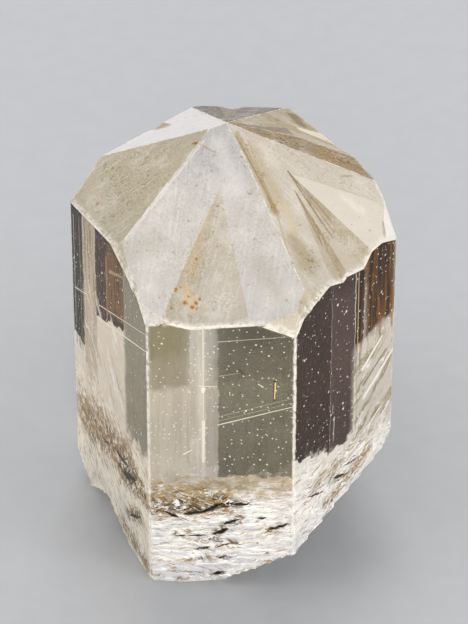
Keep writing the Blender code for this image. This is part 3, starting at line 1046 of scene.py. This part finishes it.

# Marks on the dome, among them painted light and painted shade on the front facet and a painted highlight on
# the right: start, end, width at the start and the end, softness, colour, strength
surfaceMarks = {
    "backLowCream": ((2.7, 4.6, 16.9), (4.4, 4.9, 15.9), 0.4, 1.25, 0.3, (238, 226, 206), 0.9),
    "backWindow": ((1.5, 5.6, 16.9), (1.9, 4.6, 17.2), 0.35, 0.3, 0.6, (176, 168, 150), 0.75),
    "backDark": ((2.0, 7.0, 15.8), (2.5, 5.6, 16.4), 0.5, 0.4, 0.6, (108, 86, 48), 0.85),
    "bandLine": ((2.12, 2.56, 18.33), (5.6, 1.2, 17.4), 0.06, 0.05, 0.6, (104, 78, 34), 0.8),
    "bandBrown": ((1.6, 1.5, 19.2), (5.4, 1.2, 17.6), 0.7, 0.6, 0.9, (130, 98, 40), 0.5),
    "leftBrown": ((-3.35, 3.70, 17.35), (-3.9, 4.0, 16.9), 0.06, 0.3, 0.4, (176, 146, 108), 0.8),
    "frontBorder": ((-4.30, -4.85, 17.55), (-1.3, -0.9, 20.2), 0.16, 0.07, 0.7, (240, 239, 243), 0.7),
    "ridgeStrip": ((0.15, -0.45, 20.4), (2.15, -3.5, 18.5), 0.18, 0.28, 0.6, (176, 161, 130), 0.8),
    "ridgeLine": ((0.10, -0.62, 20.37), (2.15, -3.38, 18.54), 0.06, 0.09, 0.6, (134, 114, 76), 0.75),
    "ridgeLineLow": ((2.15, -3.38, 18.54), (2.96, -5.42, 17.54), 0.06, 0.05, 0.6, (172, 156, 124), 0.7),
    "stripLine": ((0.63, -0.52, 20.11), (1.75, -2.88, 18.89), 0.05, 0.09, 0.6, (158, 140, 106), 0.6),
    "stripThread": ((0.35, -0.62, 20.25), (2.0, -3.0, 18.75), 0.03, 0.04, 0.5, (148, 128, 90), 0.6),
    "stripThreadPale": ((0.50, -0.55, 20.2), (1.9, -2.5, 19.0), 0.04, 0.05, 0.5, (240, 235, 224), 0.6),
    "stripThreadRight": ((0.85, -0.60, 20.0), (2.2, -2.6, 18.8), 0.04, 0.06, 0.6, (152, 132, 94), 0.5),
    "stripEnd": ((1.75, -2.88, 18.89), (2.1, -3.45, 18.5), 0.12, 0.18, 0.7, (146, 120, 76), 0.7),
    "stripWide": ((0.9, -0.9, 19.95), (2.2, -2.8, 18.7), 0.5, 0.7, 1.0, (178, 162, 132), 0.6),
    "upperHaze": ((1.3, -0.5, 19.7), (1.8, -1.0, 19.4), 0.4, 0.5, 1.0, (226, 219, 206), 0.5),
    "oliveLow": ((3.0, -4.4, 17.8), (3.7, -5.2, 17.2), 0.5, 0.9, 0.9, (162, 147, 112), 0.7),
    "oliveGold": ((2.5, -3.0, 18.4), (3.0, -3.9, 17.9), 0.5, 0.5, 1.0, (206, 188, 152), 0.5),
    # a painted highlight
    "highlightRight": ((4.9, -1.0, 17.6), (5.8, -1.3, 17.1), 0.3, 0.35, 1.0, (250, 249, 248), 0.35),
    "brightRidge": ((2.6, -1.16, 18.9), (5.8, -0.51, 17.33), 0.05, 0.05, 0.7, (184, 170, 146), 0.6),
    "notchFirst": ((2.47, -1.12, 18.98), (4.67, -3.14, 16.95), 0.04, 0.06, 0.5, (118, 98, 58), 0.8),
    "notchSecond": ((2.47, -1.12, 18.98), (4.15, -2.78, 17.42), 0.05, 0.05, 0.5, (128, 108, 68), 0.7),
    "notchThird": ((2.47, -1.12, 18.98), (4.69, -2.75, 16.98), 0.04, 0.05, 0.5, (134, 114, 76), 0.7),
    "notchFourth": ((3.52, -1.75, 18.14), (4.56, -2.40, 17.26), 0.04, 0.05, 0.5, (140, 120, 84), 0.7),
    "innerFirst": ((2.85, -1.95, 18.55), (4.24, -3.77, 17.09), 0.04, 0.07, 0.5, (132, 110, 70), 0.8),
    "innerSecond": ((2.85, -1.95, 18.55), (4.50, -3.73, 16.96), 0.04, 0.06, 0.5, (140, 120, 82), 0.7),
    "notchPale": ((4.7, -3.3, 16.9), (5.7, -3.8, 16.2), 0.4, 0.9, 0.9, (210, 200, 184), 0.6),
    "squiggle": ((4.80, 0.0, 17.99), (5.23, 0.26, 17.82), 0.10, 0.07, 0.6, (150, 138, 112), 0.6),
    "rightMark": ((6.77, -1.33, 16.57), (6.91, -1.93, 16.26), 0.06, 0.15, 0.5, (150, 128, 92), 0.7),
    "cornerWhite": ((7.0, -1.0, 16.3), (7.3, -1.3, 15.8), 0.2, 0.19, 0.7, (255, 255, 252), 0.8),
    # painted light at the top of the front facet and painted shade at its sides
    "frontHighlight": ((-0.6, -0.9, 20.1), (0.3, -2.6, 19.1), 0.5, 0.8, 1.0, (244, 243, 241), 0.45),
    "frontShadeLeft": ((-4.2, -5.6, 17.2), (-3.0, -5.0, 17.8), 0.9, 0.9, 1.0, (170, 166, 156), 0.4),
    "frontShadeRight": ((1.6, -5.6, 17.3), (2.4, -6.8, 16.6), 0.7, 0.8, 1.0, (170, 163, 150), 0.4),
    "frontHazeHigh": ((-3.5, -4.6, 17.9), (-2.4, -3.2, 18.8), 0.5, 0.5, 1.0, (226, 225, 224), 0.2),
    "kiteGold": ((-1.6, -6.6, 16.5), (-1.1, -7.2, 16.1), 0.4, 0.5, 1.0, (210, 178, 108), 0.4),
    "kiteStain": ((-0.75, -3.7, 18.5), (-1.4, -6.0, 16.9), 0.19, 0.5, 1.0, (200, 172, 118), 0.35),
    "brownTrail": ((-1.60, -0.98, 20.13), (-0.76, -1.35, 19.97), 0.05, 0.04, 0.6, (176, 146, 104), 0.7),
    "brownMark": ((-1.85, -0.85, 20.0), (-1.60, -0.98, 20.13), 0.06, 0.10, 0.4, (130, 84, 20), 0.9),
}

# Grains on the dome: how fine they are, where they start and are full
grainPatterns = {
    "coarse": (5.0, 0.52, 0.62),
    "gold": (6.3, 0.55, 0.62),
    "fine": (10.0, 0.50, 0.60),
    "dots": (7.0, 0.60, 0.66),
}

# How softly a gathering of grains fades out at its border
patchSoftness = 0.9

# Gatherings of grains on the dome: place, reach, pattern, colour, strength
grainPatches = {
    "leftMiddle": ((-3.8, -1.7, 18.5), 0.9, "coarse", (108, 100, 66), 0.7),
    "leftHigh": ((-4.0, -0.4, 18.5), 0.5, "coarse", (116, 108, 76), 0.7),
    "leftFar": ((-5.7, 0.2, 17.4), 0.9, "coarse", (112, 102, 66), 0.7),
    "leftLow": ((-4.1, -2.6, 18.1), 0.45, "coarse", (120, 112, 80), 0.7),
    "leftFine": ((-4.4, -1.6, 18.0), 2.6, "fine", (132, 118, 80), 0.5),
    "rightLow": ((3.6, -4.9, 17.2), 0.8, "coarse", (116, 102, 66), 0.7),
    "rightLowest": ((3.9, -5.3, 16.9), 0.5, "coarse", (96, 84, 48), 0.8),
    "bandMiddle": ((4.6, 1.4, 17.8), 1.5, "coarse", (58, 34, 2), 1.0),
    "bandUpper": ((2.4, 1.2, 19.0), 1.5, "coarse", (88, 64, 24), 0.85),
    "bandGold": ((4.4, 1.2, 17.9), 1.7, "gold", (224, 178, 88), 0.85),
    "bandGoldUpper": ((2.0, 1.0, 19.1), 1.4, "gold", (206, 182, 128), 0.7),
    "backDots": ((-0.6, 5.2, 17.2), 2.6, "coarse", (92, 68, 24), 0.8),
    "lowBackDots": ((1.4, 4.4, 17.4), 1.2, "coarse", (104, 80, 36), 0.8),
    "stripTop": ((0.5, -0.9, 20.1), 0.5, "coarse", (124, 102, 60), 0.8),
    "stripMiddle": ((1.2, -2.0, 19.4), 0.6, "coarse", (124, 100, 56), 0.8),
    "stripLow": ((2.0, -3.3, 18.6), 0.5, "coarse", (116, 90, 44), 0.8),
    "kiteFine": ((-1.2, -5.8, 17.0), 1.2, "fine", (150, 124, 84), 0.5),
    "dotsRidge": ((0.5, -1.2, 20.0), 0.8, "dots", (140, 126, 98), 0.7),
    "dotsRidgeMiddle": ((1.2, -2.9, 19.0), 0.9, "dots", (140, 126, 98), 0.7),
    "dotsRidgeLow": ((1.9, -4.6, 18.0), 0.9, "dots", (140, 126, 98), 0.6),
    "dotsLeft": ((-1.5, -1.8, 19.7), 0.8, "dots", (146, 132, 104), 0.7),
    "dotsLeftMiddle": ((-2.9, -3.4, 18.6), 0.9, "dots", (146, 132, 104), 0.6),
    "frostLow": ((0.1, -7.2, 16.3), 1.3, "fine", (252, 251, 248), 0.6),
    "frostRight": ((2.0, -7.0, 16.5), 1.1, "fine", (250, 249, 247), 0.4),
    "frostLeft": ((-3.2, -6.9, 16.5), 0.9, "fine", (248, 247, 246), 0.5),
    "frostCorner": ((3.2, -6.6, 16.6), 0.8, "fine", (250, 249, 246), 0.5),
}

# Orange stains on the dome: place, radius
orangeSpecks = {
    "leftHigh": (-6.03, -1.76, 16.93, 0.11),
    "leftMiddle": (-5.09, -3.10, 17.39, 0.10),
    "leftLow": (-5.52, -2.95, 17.12, 0.06),
    "kiteTop": (-0.41, -3.46, 18.62, 0.08),
    "kiteMain": (-1.17, -5.55, 17.25, 0.11),
    "kiteSide": (-1.92, -6.84, 16.49, 0.11),
    "kiteSideHigh": (-1.71, -6.69, 16.55, 0.08),
    "kiteLowest": (-1.48, -7.24, 16.11, 0.15),
    "kiteCorner": (-1.16, -7.32, 15.98, 0.13),
    "kiteCornerRight": (-1.01, -7.15, 16.07, 0.10),
    "kiteUpper": (-1.33, -6.99, 16.26, 0.08),
    "kiteRight": (-0.84, -7.00, 16.19, 0.10),
    "kiteLast": (-0.94, -7.38, 15.93, 0.09),
    "belowKite": (-2.07, -7.53, 16.02, 0.09),
    "kiteInner": (-1.24, -6.16, 16.83, 0.06),
    "bandFirst": (4.49, 1.54, 17.86, 0.10),
    "bandSecond": (5.0, 1.4, 17.7, 0.10),
    "bandThird": (4.0, 1.3, 18.1, 0.09),
    "creamEdge": (3.82, 4.45, 16.5, 0.10),
}
speckLook = {"colour": (164, 106, 2), "swell": 1.1, "softness": 0.7}


def onFacet(tree, number, name):
    return calc(tree, "COMPARE", number, float(list(domeFacets).index(name)), 0.5)


def paintDome(tree, colour, place, slopePlace, number):
    look = domeLook["haze"]
    haze = ramp(tree, noise(tree, place, look["scale"], 5.0, 0.65), *look["between"], 0.0, look["strength"])
    colour = blendColour(tree, haze, colour, tone(*look["colour"]))
    low, high = domeLook["threadsBetween"]
    for stretch, shade, strength in domeLook["threads"]:
        threads = useEffect(tree, streaks, place=slopePlace, stretch=stretch, low=low, high=high)
        colour = blendColour(tree, calc(tree, "MULTIPLY", threads, strength), colour, tone(*shade))
    look = domeLook["frost"]
    frost = ramp(tree, noise(tree, place, look["scale"], 4.0, 0.75), *domeLook["frostBetween"])
    colour = blendColour(tree, calc(tree, "MULTIPLY", frost, look["darkCover"]), colour, tone(*look["dark"]))
    white = calc(tree, "MULTIPLY", calc(tree, "SUBTRACT", 1.0, frost), look["paleCover"])
    colour = blendColour(tree, white, colour, tone(*look["pale"]))
    scale, low, high = domeLook["mottles"]
    grains = ramp(tree, noise(tree, place, scale, 3.0, 0.7), low, high)
    scale, low, high = domeLook["mottledPatches"]
    patches = ramp(tree, noise(tree, place, scale, 3.0), low, high)
    spotted = calc(tree, "MULTIPLY", grains, patches)
    steady = shaken(tree, place, *domeLook["unsteady"])
    # painted highlight wedges
    for name, (start, end, startWidth, endWidth, softness, shade, strength) in facetHighlightWedges.items():
        mask = useEffect(
            tree, stroke, place=steady, start=start, end=end, startWidth=startWidth, endWidth=endWidth,
            softness=softness)
        mask = calc(tree, "MULTIPLY", calc(tree, "MULTIPLY", mask, onFacet(tree, number, name)), strength)
        colour = blendColour(tree, mask, colour, tone(*shade))
    for name, (shade, strength) in mottledFacets.items():
        mask = calc(tree, "MULTIPLY", calc(tree, "MULTIPLY", spotted, onFacet(tree, number, name)), strength)
        colour = blendColour(tree, mask, colour, tone(*shade))
    return colour


def paintGrains(tree, colour, place):
    patterns = {
        name: ramp(tree, noise(tree, place, scale, 3.0, 0.7), low, high)
        for name, (scale, low, high) in grainPatterns.items()}
    for middle, reach, pattern, shade, strength in grainPatches.values():
        mask = useEffect(tree, spot, place=place, middle=middle, reach=reach, softness=patchSoftness)
        mask = calc(tree, "MULTIPLY", calc(tree, "MULTIPLY", mask, patterns[pattern]), strength)
        colour = blendColour(tree, mask, colour, tone(*shade))
    return colour


def paintSpots(tree, colour, place, kind):
    look = domeLook[kind]
    mask = useEffect(tree, speckle, place=place, **sizesOf(look))
    cover = calc(tree, "MULTIPLY", mask, look["strength"])
    return mask, blendColour(tree, cover, colour, tone(*look["colour"]))


def paintMarks(tree, colour, place):
    # wide marks have frayed borders, and narrow ones are drawn with a slightly unsteady line
    frayed = shaken(tree, place, *domeLook["frayed"])
    unsteady = shaken(tree, place, *domeLook["unsteady"])
    for start, end, startWidth, endWidth, softness, shade, strength in surfaceMarks.values():
        where = frayed if endWidth > domeLook["wideFrom"] and softness > domeLook["crispTo"] else unsteady
        mask = useEffect(
            tree, stroke, place=where, start=start, end=end, startWidth=startWidth, endWidth=endWidth,
            softness=softness)
        colour = blendColour(tree, calc(tree, "MULTIPLY", mask, strength), colour, tone(*shade))
    colour = paintGrains(tree, colour, place)
    crumbly = shaken(tree, place, *domeLook["crumbly"])
    for *middle, radius in orangeSpecks.values():
        mask = useEffect(
            tree, spot, place=crumbly, middle=tuple(middle), reach=radius * speckLook["swell"],
            softness=speckLook["softness"])
        colour = blendColour(tree, mask, colour, tone(*speckLook["colour"]))
    return colour


def paintBorder(tree, colour, under, place):
    near = ramp(tree, under, borderLook["reach"], borderLook["full"])
    crumbs = ramp(tree, noise(tree, place, borderLook["grain"], 4.0, 0.65), *borderLook["between"])
    mask = calc(tree, "MULTIPLY", calc(tree, "MULTIPLY", near, crumbs), borderLook["cover"])
    return blendColour(tree, mask, colour, tone(*borderLook["colour"]))


def rimmed(tree, rim, cover, colour, roughness):
    # the worn rims look the same on every skin
    colour = blendColour(tree, calc(tree, "MULTIPLY", rim, cover), colour, tone(*stoneLook["rimTint"]))
    return colour, mixValue(tree, rim, roughness, stoneLook["rimRoughness"])


def stoneSkin(tree, shader, colour, roughness, height):
    feed(tree, shader.inputs["Base Color"], colour)
    feed(tree, shader.inputs["Roughness"], roughness)
    relief = addNode(tree, "ShaderNodeBump")
    relief.inputs["Distance"].default_value = stoneLook["pitDepth"] * mm
    relief.inputs["Strength"].default_value = stoneLook["reliefStrength"]
    feed(tree, relief.inputs["Height"], height)
    feed(tree, shader.inputs["Normal"], relief.outputs["Normal"])
    shader.inputs["IOR"].default_value = stoneLook["refraction"]
    shader.inputs["Transmission Weight"].default_value = stoneLook["transmission"]
    shader.inputs["Specular IOR Level"].default_value = stoneLook["shine"]
    shader.inputs["Specular Tint"].default_value = stoneLook["shineTint"]


def eitherShader(tree, mask, first, second):
    node = addNode(tree, "ShaderNodeMixShader")
    feed(tree, node.inputs["Fac"], mask)
    for socket, shader in zip(node.inputs[1:3], (first, second)):
        tree.links.new(shader.outputs[0], socket)
    return node


def makeStone():
    material, tree, wallSkin = newMaterial("phenakite stone")
    place = millimetres(tree)
    dome, broken, rim, number = (
        attribute(tree, name) for name in ("domeSkin", "breakSkin", "wornRim", "facetNumber"))
    wallPlace = addNode(tree, "ShaderNodeSeparateXYZ")
    feed(tree, wallPlace.inputs["Vector"], attribute(tree, "wallPlace", "Vector"))
    look = stoneLook["uneven"]
    uneven = noise(tree, place, look["scale"], 4.0)
    uneven = ramp(tree, uneven, *look["between"], -look["across"], look["across"])
    around = calc(tree, "ADD", wallPlace.outputs["X"], uneven)
    height = calc(tree, "ADD", wallPlace.outputs["Y"], calc(tree, "MULTIPLY", uneven, look["upOverAcross"]))

    strandPlace = attribute(tree, "strandPlace", "Vector")
    cloud, shallow, warmth = cloudedEnd(tree, wallPlace.outputs["X"], height, place)
    wallColour = paintWalls(tree, tone(*stoneLook["wallTint"]), around, height)
    wallColour = paintGrain(tree, wallColour, around, height)
    wallColour = paintLines(tree, wallColour, place)
    wallColour = paintDust(tree, wallColour, place)
    wallColour = paintCorners(tree, wallColour, wallPlace.outputs["X"], place)
    cloudColour = paintCloud(tree, strandPlace, place, shallow)
    cloudColour = blendColour(tree, warmth, cloudColour, tone(*cloudLook["warmWhite"]), "MULTIPLY")
    wallColour = blendColour(tree, cloud, wallColour, cloudColour)
    wallColour = blendColour(tree, broken, wallColour, cloudColour)

    # the walls and the break are one shader and the dome is another, so that neither waits for the other's
    rimGrain = noise(tree, place, stoneLook["rimGrain"], 4.0)
    cover = ramp(tree, rimGrain, *stoneLook["rimBetween"], *stoneLook["rimCover"])
    grain = noise(tree, place, stoneLook["reliefGrain"], 4.0)
    wallRoughness = mixValue(tree, cloud, stoneLook["wallRoughness"], stoneLook["cloudRoughness"])
    wallRoughness = mixValue(tree, broken, wallRoughness, stoneLook["breakRoughness"])
    stoneSkin(tree, wallSkin, *rimmed(tree, rim, cover, wallColour, wallRoughness), grain)

    slopePlace = attribute(tree, "slopePlace", "Vector")
    # the dome starts from its facet colours, partly painted light and shade
    domeColour = paintDome(tree, attribute(tree, "facetToneAndLight", "Color"), place, slopePlace, number)
    pits, domeColour = paintSpots(tree, domeColour, place, "pits")
    domeColour = paintSpots(tree, domeColour, place, "flecks")[1]
    domeColour = paintMarks(tree, domeColour, place)
    domeColour = paintBorder(tree, domeColour, wallPlace.outputs["Z"], place)
    domeSkin = addNode(tree, "ShaderNodeBsdfPrincipled")
    pitted = calc(tree, "SUBTRACT", grain, pits)
    stoneSkin(tree, domeSkin, *rimmed(tree, rim, cover, domeColour, stoneLook["domeRoughness"]), pitted)

    depth = addNode(tree, "ShaderNodeVolumeAbsorption")
    depth.inputs["Color"].default_value = stoneLook["absorbed"]
    depth.inputs["Density"].default_value = stoneLook["density"]
    result = tree.nodes["Material Output"]
    tree.links.new(depth.outputs["Volume"], result.inputs["Volume"])

    # light on its way to a lamp passes nearly straight through, so the inside isn't left in the dark
    passing = addNode(tree, "ShaderNodeBsdfTransparent")
    passing.inputs["Color"].default_value = stoneLook["letThrough"]
    solid = eitherShader(tree, dome, wallSkin, domeSkin)
    inShadow = addNode(tree, "ShaderNodeLightPath").outputs["Is Shadow Ray"]
    tree.links.new(eitherShader(tree, inShadow, solid, passing).outputs["Shader"], result.inputs["Surface"])
    return material


crystal.data.materials.clear()
crystal.data.materials.append(makeStone())
print("stone ready")


# Strands, flakes and grains inside the clouded end. Each is shaped once, copied and joined into one piece.

inclusions = {
    "paleStrands": {
        "size": (0.80, 0.085, 0.035), "spread": (0.4, 1.9), "kind": "pale", "deepest": 2.6, "grains": 0,
        "colour": (255, 252, 244), "second": (232, 218, 192), "roughness": 0.5, "seed": 11},
    "breakGrains": {
        "size": (0.42, 0.26, 0.08), "spread": (0.6, 1.7), "kind": None, "deepest": 0.25, "grains": 2600,
        "colour": (255, 253, 247), "second": (226, 210, 182), "roughness": 0.5, "seed": 31},
    "darkFlakes": {
        "size": (0.55, 0.11, 0.03), "spread": (0.4, 1.6), "kind": "dark", "deepest": 1.2, "grains": 60,
        "colour": (26, 18, 8), "second": (96, 62, 24), "roughness": 0.4, "seed": 23},
}

inclusionsBelow = 8.5
skinOverInclusions = 0.05
strandsUnderBorder = 0.6
joinedAtOnce = 300
strandModels = 3
inclusionDepth = {"underWall": 0.08, "underBreak": 0.07, "towardsWall": 2.2}
strandWobble = {"rise": 9.0, "outward": 0.12, "dents": 0.12}
inclusionPatches = {"scale": 1.6, "between": (0.4, 0.62)}
inclusionGrain = {"cells": 9.0, "radius": 0.35, "share": 0.5, "colour": (250, 246, 238), "cover": 0.4}


def shapeStrand(size, seed):
    # a slim spindle, pressed flat, with a few dents
    bpy.ops.object.select_all(action="DESELECT")
    bpy.ops.mesh.primitive_ico_sphere_add(subdivisions=1, radius=0.5)
    strand = bpy.context.active_object
    bpy.ops.object.mode_set(mode="EDIT")
    bpy.ops.mesh.select_all(action="SELECT")
    bpy.ops.transform.vertex_random(offset=strandWobble["dents"], seed=seed)
    bpy.ops.transform.resize(value=[side * mm for side in size], center_override=(0.0, 0.0, 0.0))
    bpy.ops.object.mode_set(mode="OBJECT")
    return strand


stoneSurface = BVHTree.FromObject(crystal, bpy.context.evaluated_depsgraph_get())


def insideStone(point, margin):
    near, normal = stoneSurface.find_nearest(point * mm)[:2]
    return (near - point * mm).dot(normal) > margin * mm


def turnedAlong(length, flat):
    width = flat.cross(length).normalized()
    return Matrix((length, width, length.cross(width))).transposed()


def placesInFields(chance, kind, deepest):
    # under each wall, more often near its surface, drawn out as that wall's strands are
    places = []
    for wallName, field in strandFields.items():
        wall = walls[wallName]
        for i in range(field[kind]):
            across = chance.uniform(0.0, wall["length"])
            share = across / wall["length"]
            low, high = (
                field[side][0] + share * (field[side][1] - field[side][0]) for side in ("low", "high"))
            depth = inclusionDepth["underWall"] + deepest * chance.random() ** inclusionDepth["towardsWall"]
            point = wall["start"] + wall["along"] * across - wall["normal"] * depth
            point.z = chance.uniform(low, high - strandsUnderBorder)
            rise = math.radians(field["rise"] + chance.gauss(0.0, strandWobble["rise"]))
            length = wall["along"] * math.cos(rise) + Vector((0.0, 0.0, math.sin(rise)))
            length = (length + wall["normal"] * chance.gauss(0.0, strandWobble["outward"])).normalized()
            places.append((point, turnedAlong(length, wall["normal"])))
    return places


def placesOnBreak(chance, count, deepest):
    # just inside the broken underside, lying along it
    broken = [
        face for face in crystal.data.polygons
        if onRoughBreak(face) and face.center.z < inclusionsBelow * mm]
    faces = chance.choices(broken, weights=[face.area for face in broken], k=count)
    places = []
    for face in faces:
        depth = inclusionDepth["underBreak"] + deepest * chance.random()
        point = face.center / mm - face.normal * depth
        length = face.normal.orthogonal().normalized()
        length.rotate(Matrix.Rotation(chance.uniform(0.0, math.tau), 3, face.normal))
        places.append((point, turnedAlong(length, face.normal.copy())))
    return places


def joinAll(items):
    bpy.ops.object.select_all(action="DESELECT")
    for item in items:
        item.select_set(True)
    bpy.context.view_layer.objects.active = items[0]
    bpy.ops.object.join()
    return bpy.context.active_object


def makeInclusions(name, look):
    chance = random.Random(look["seed"])
    models = [shapeStrand(look["size"], seed) for seed in range(1, strandModels + 1)]
    places = placesInFields(chance, look["kind"], look["deepest"]) if look["kind"] else []
    places += placesOnBreak(chance, look["grains"], look["deepest"])
    batches, copies = [], []
    for point, turn in places:
        scale = chance.uniform(*look["spread"])
        model = chance.choice(models)
        reaches = [turn.col[axis] * look["size"][axis] * scale * 0.5 for axis in (0, 1)]
        ends = [point] + [point + reach * way for reach in reaches for way in (1.0, -1.0)]
        margin = skinOverInclusions + look["size"][2] * scale * 0.5
        if not all(insideStone(end, margin) for end in ends):
            continue
        copy = bpy.data.objects.new(name, model.data.copy())
        copy.data.transform(Matrix.Translation(point * mm) @ turn.to_4x4() @ Matrix.Scale(scale, 4))
        bpy.context.scene.collection.objects.link(copy)
        copies.append(copy)
        if len(copies) == joinedAtOnce:
            batches.append(joinAll(copies))
            copies = []
    if copies:
        batches.append(joinAll(copies))
    for model in models:
        bpy.data.objects.remove(model)
    piece = joinAll(batches) if len(batches) > 1 else batches[0]
    piece.name = name
    piece.data.materials.append(makeInclusionMaterial(name, look))
    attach(piece, "root")
    return piece


def makeInclusionMaterial(name, look):
    material, tree, shader = newMaterial(name)
    place = millimetres(tree)
    patches = noise(tree, place, inclusionPatches["scale"], 3.0)
    patches = ramp(tree, patches, *inclusionPatches["between"])
    grains = useEffect(tree, speckle, place=place, **sizesOf(inclusionGrain))
    grains = calc(tree, "MULTIPLY", grains, inclusionGrain["cover"])
    colour = blendColour(tree, patches, tone(*look["colour"]), tone(*look["second"]))
    colour = blendColour(tree, grains, colour, tone(*inclusionGrain["colour"]))
    feed(tree, shader.inputs["Base Color"], colour)
    shader.inputs["Roughness"].default_value = look["roughness"]
    return material


for name, look in inclusions.items():
    piece = makeInclusions(name, look)
    print(name, "ready:", len(piece.data.polygons), "faces")


# A plain pale floor, soft lights and an even sky

studio = {
    "floorSize": 3000.0,
    "floorColour": (150, 151, 153),
    "floorRoughness": 0.7,
    "paperGrain": {"scale": 0.9, "between": (0.3, 0.7), "darkest": 0.97},
    "skyStops": ((0.0, (0.56, 0.56, 0.56)), (0.5, (0.60, 0.60, 0.61)), (1.0, (0.70, 0.71, 0.73))),
    "lights": {
        "key": ((-300.0, -60.0, 400.0), 260.0, 0.5),
        "side": ((380.0, -120.0, 260.0), 220.0, 0.8),
        "rear": ((-40.0, 330.0, 340.0), 240.0, 1.0),
        "front": ((40.0, -430.0, 30.0), 240.0, 1.6),
    },
    "exposure": 0.35,
}


def makeFloor():
    bpy.ops.object.select_all(action="DESELECT")
    bpy.ops.mesh.primitive_plane_add(size=studio["floorSize"] * mm)
    floor = bpy.context.active_object
    floor.name = "floor"
    material, tree, shader = newMaterial("pale paper")
    look = studio["paperGrain"]
    grain = noise(tree, millimetres(tree), look["scale"], 5.0)
    grain = ramp(tree, grain, *look["between"], look["darkest"], 1.0)
    colour = blendColour(tree, 1.0, tone(*studio["floorColour"]), grain, "MULTIPLY")
    feed(tree, shader.inputs["Base Color"], colour)
    shader.inputs["Roughness"].default_value = studio["floorRoughness"]
    floor.data.materials.append(material)


def makeLights():
    for name, (place, size, power) in studio["lights"].items():
        lamp = bpy.data.lights.new(name, "AREA")
        lamp.size = size * mm
        lamp.energy = power
        light = bpy.data.objects.new(name, lamp)
        bpy.context.scene.collection.objects.link(light)
        light.location = Vector(place) * mm
        light.rotation_euler = Vector(place).to_track_quat("Z", "Y").to_euler()


def makeSky():
    world = bpy.data.worlds.new("soft sky")
    bpy.context.scene.world = world
    world.use_nodes = True
    tree = world.node_tree
    heightInSky = addNode(tree, "ShaderNodeSeparateXYZ")
    feed(tree, heightInSky.inputs["Vector"], addNode(tree, "ShaderNodeTexCoord").outputs["Generated"])
    colours = addNode(tree, "ShaderNodeValToRGB")
    feed(tree, colours.inputs["Fac"], heightInSky.outputs["Z"])
    stops = colours.color_ramp.elements
    while len(stops) < len(studio["skyStops"]):
        stops.new(0.5)
    for stop, (position, colour) in zip(stops, studio["skyStops"]):
        stop.position = position
        stop.color = (*colour, 1.0)
    feed(tree, tree.nodes["Background"].inputs["Color"], colours.outputs["Color"])


makeFloor()
makeLights()
makeSky()
bpy.context.scene.view_settings.view_transform = "Standard"
bpy.context.scene.view_settings.exposure = studio["exposure"]
bpy.context.scene.cycles.caustics_reflective = False
bpy.context.scene.cycles.caustics_refractive = False
print("studio ready")
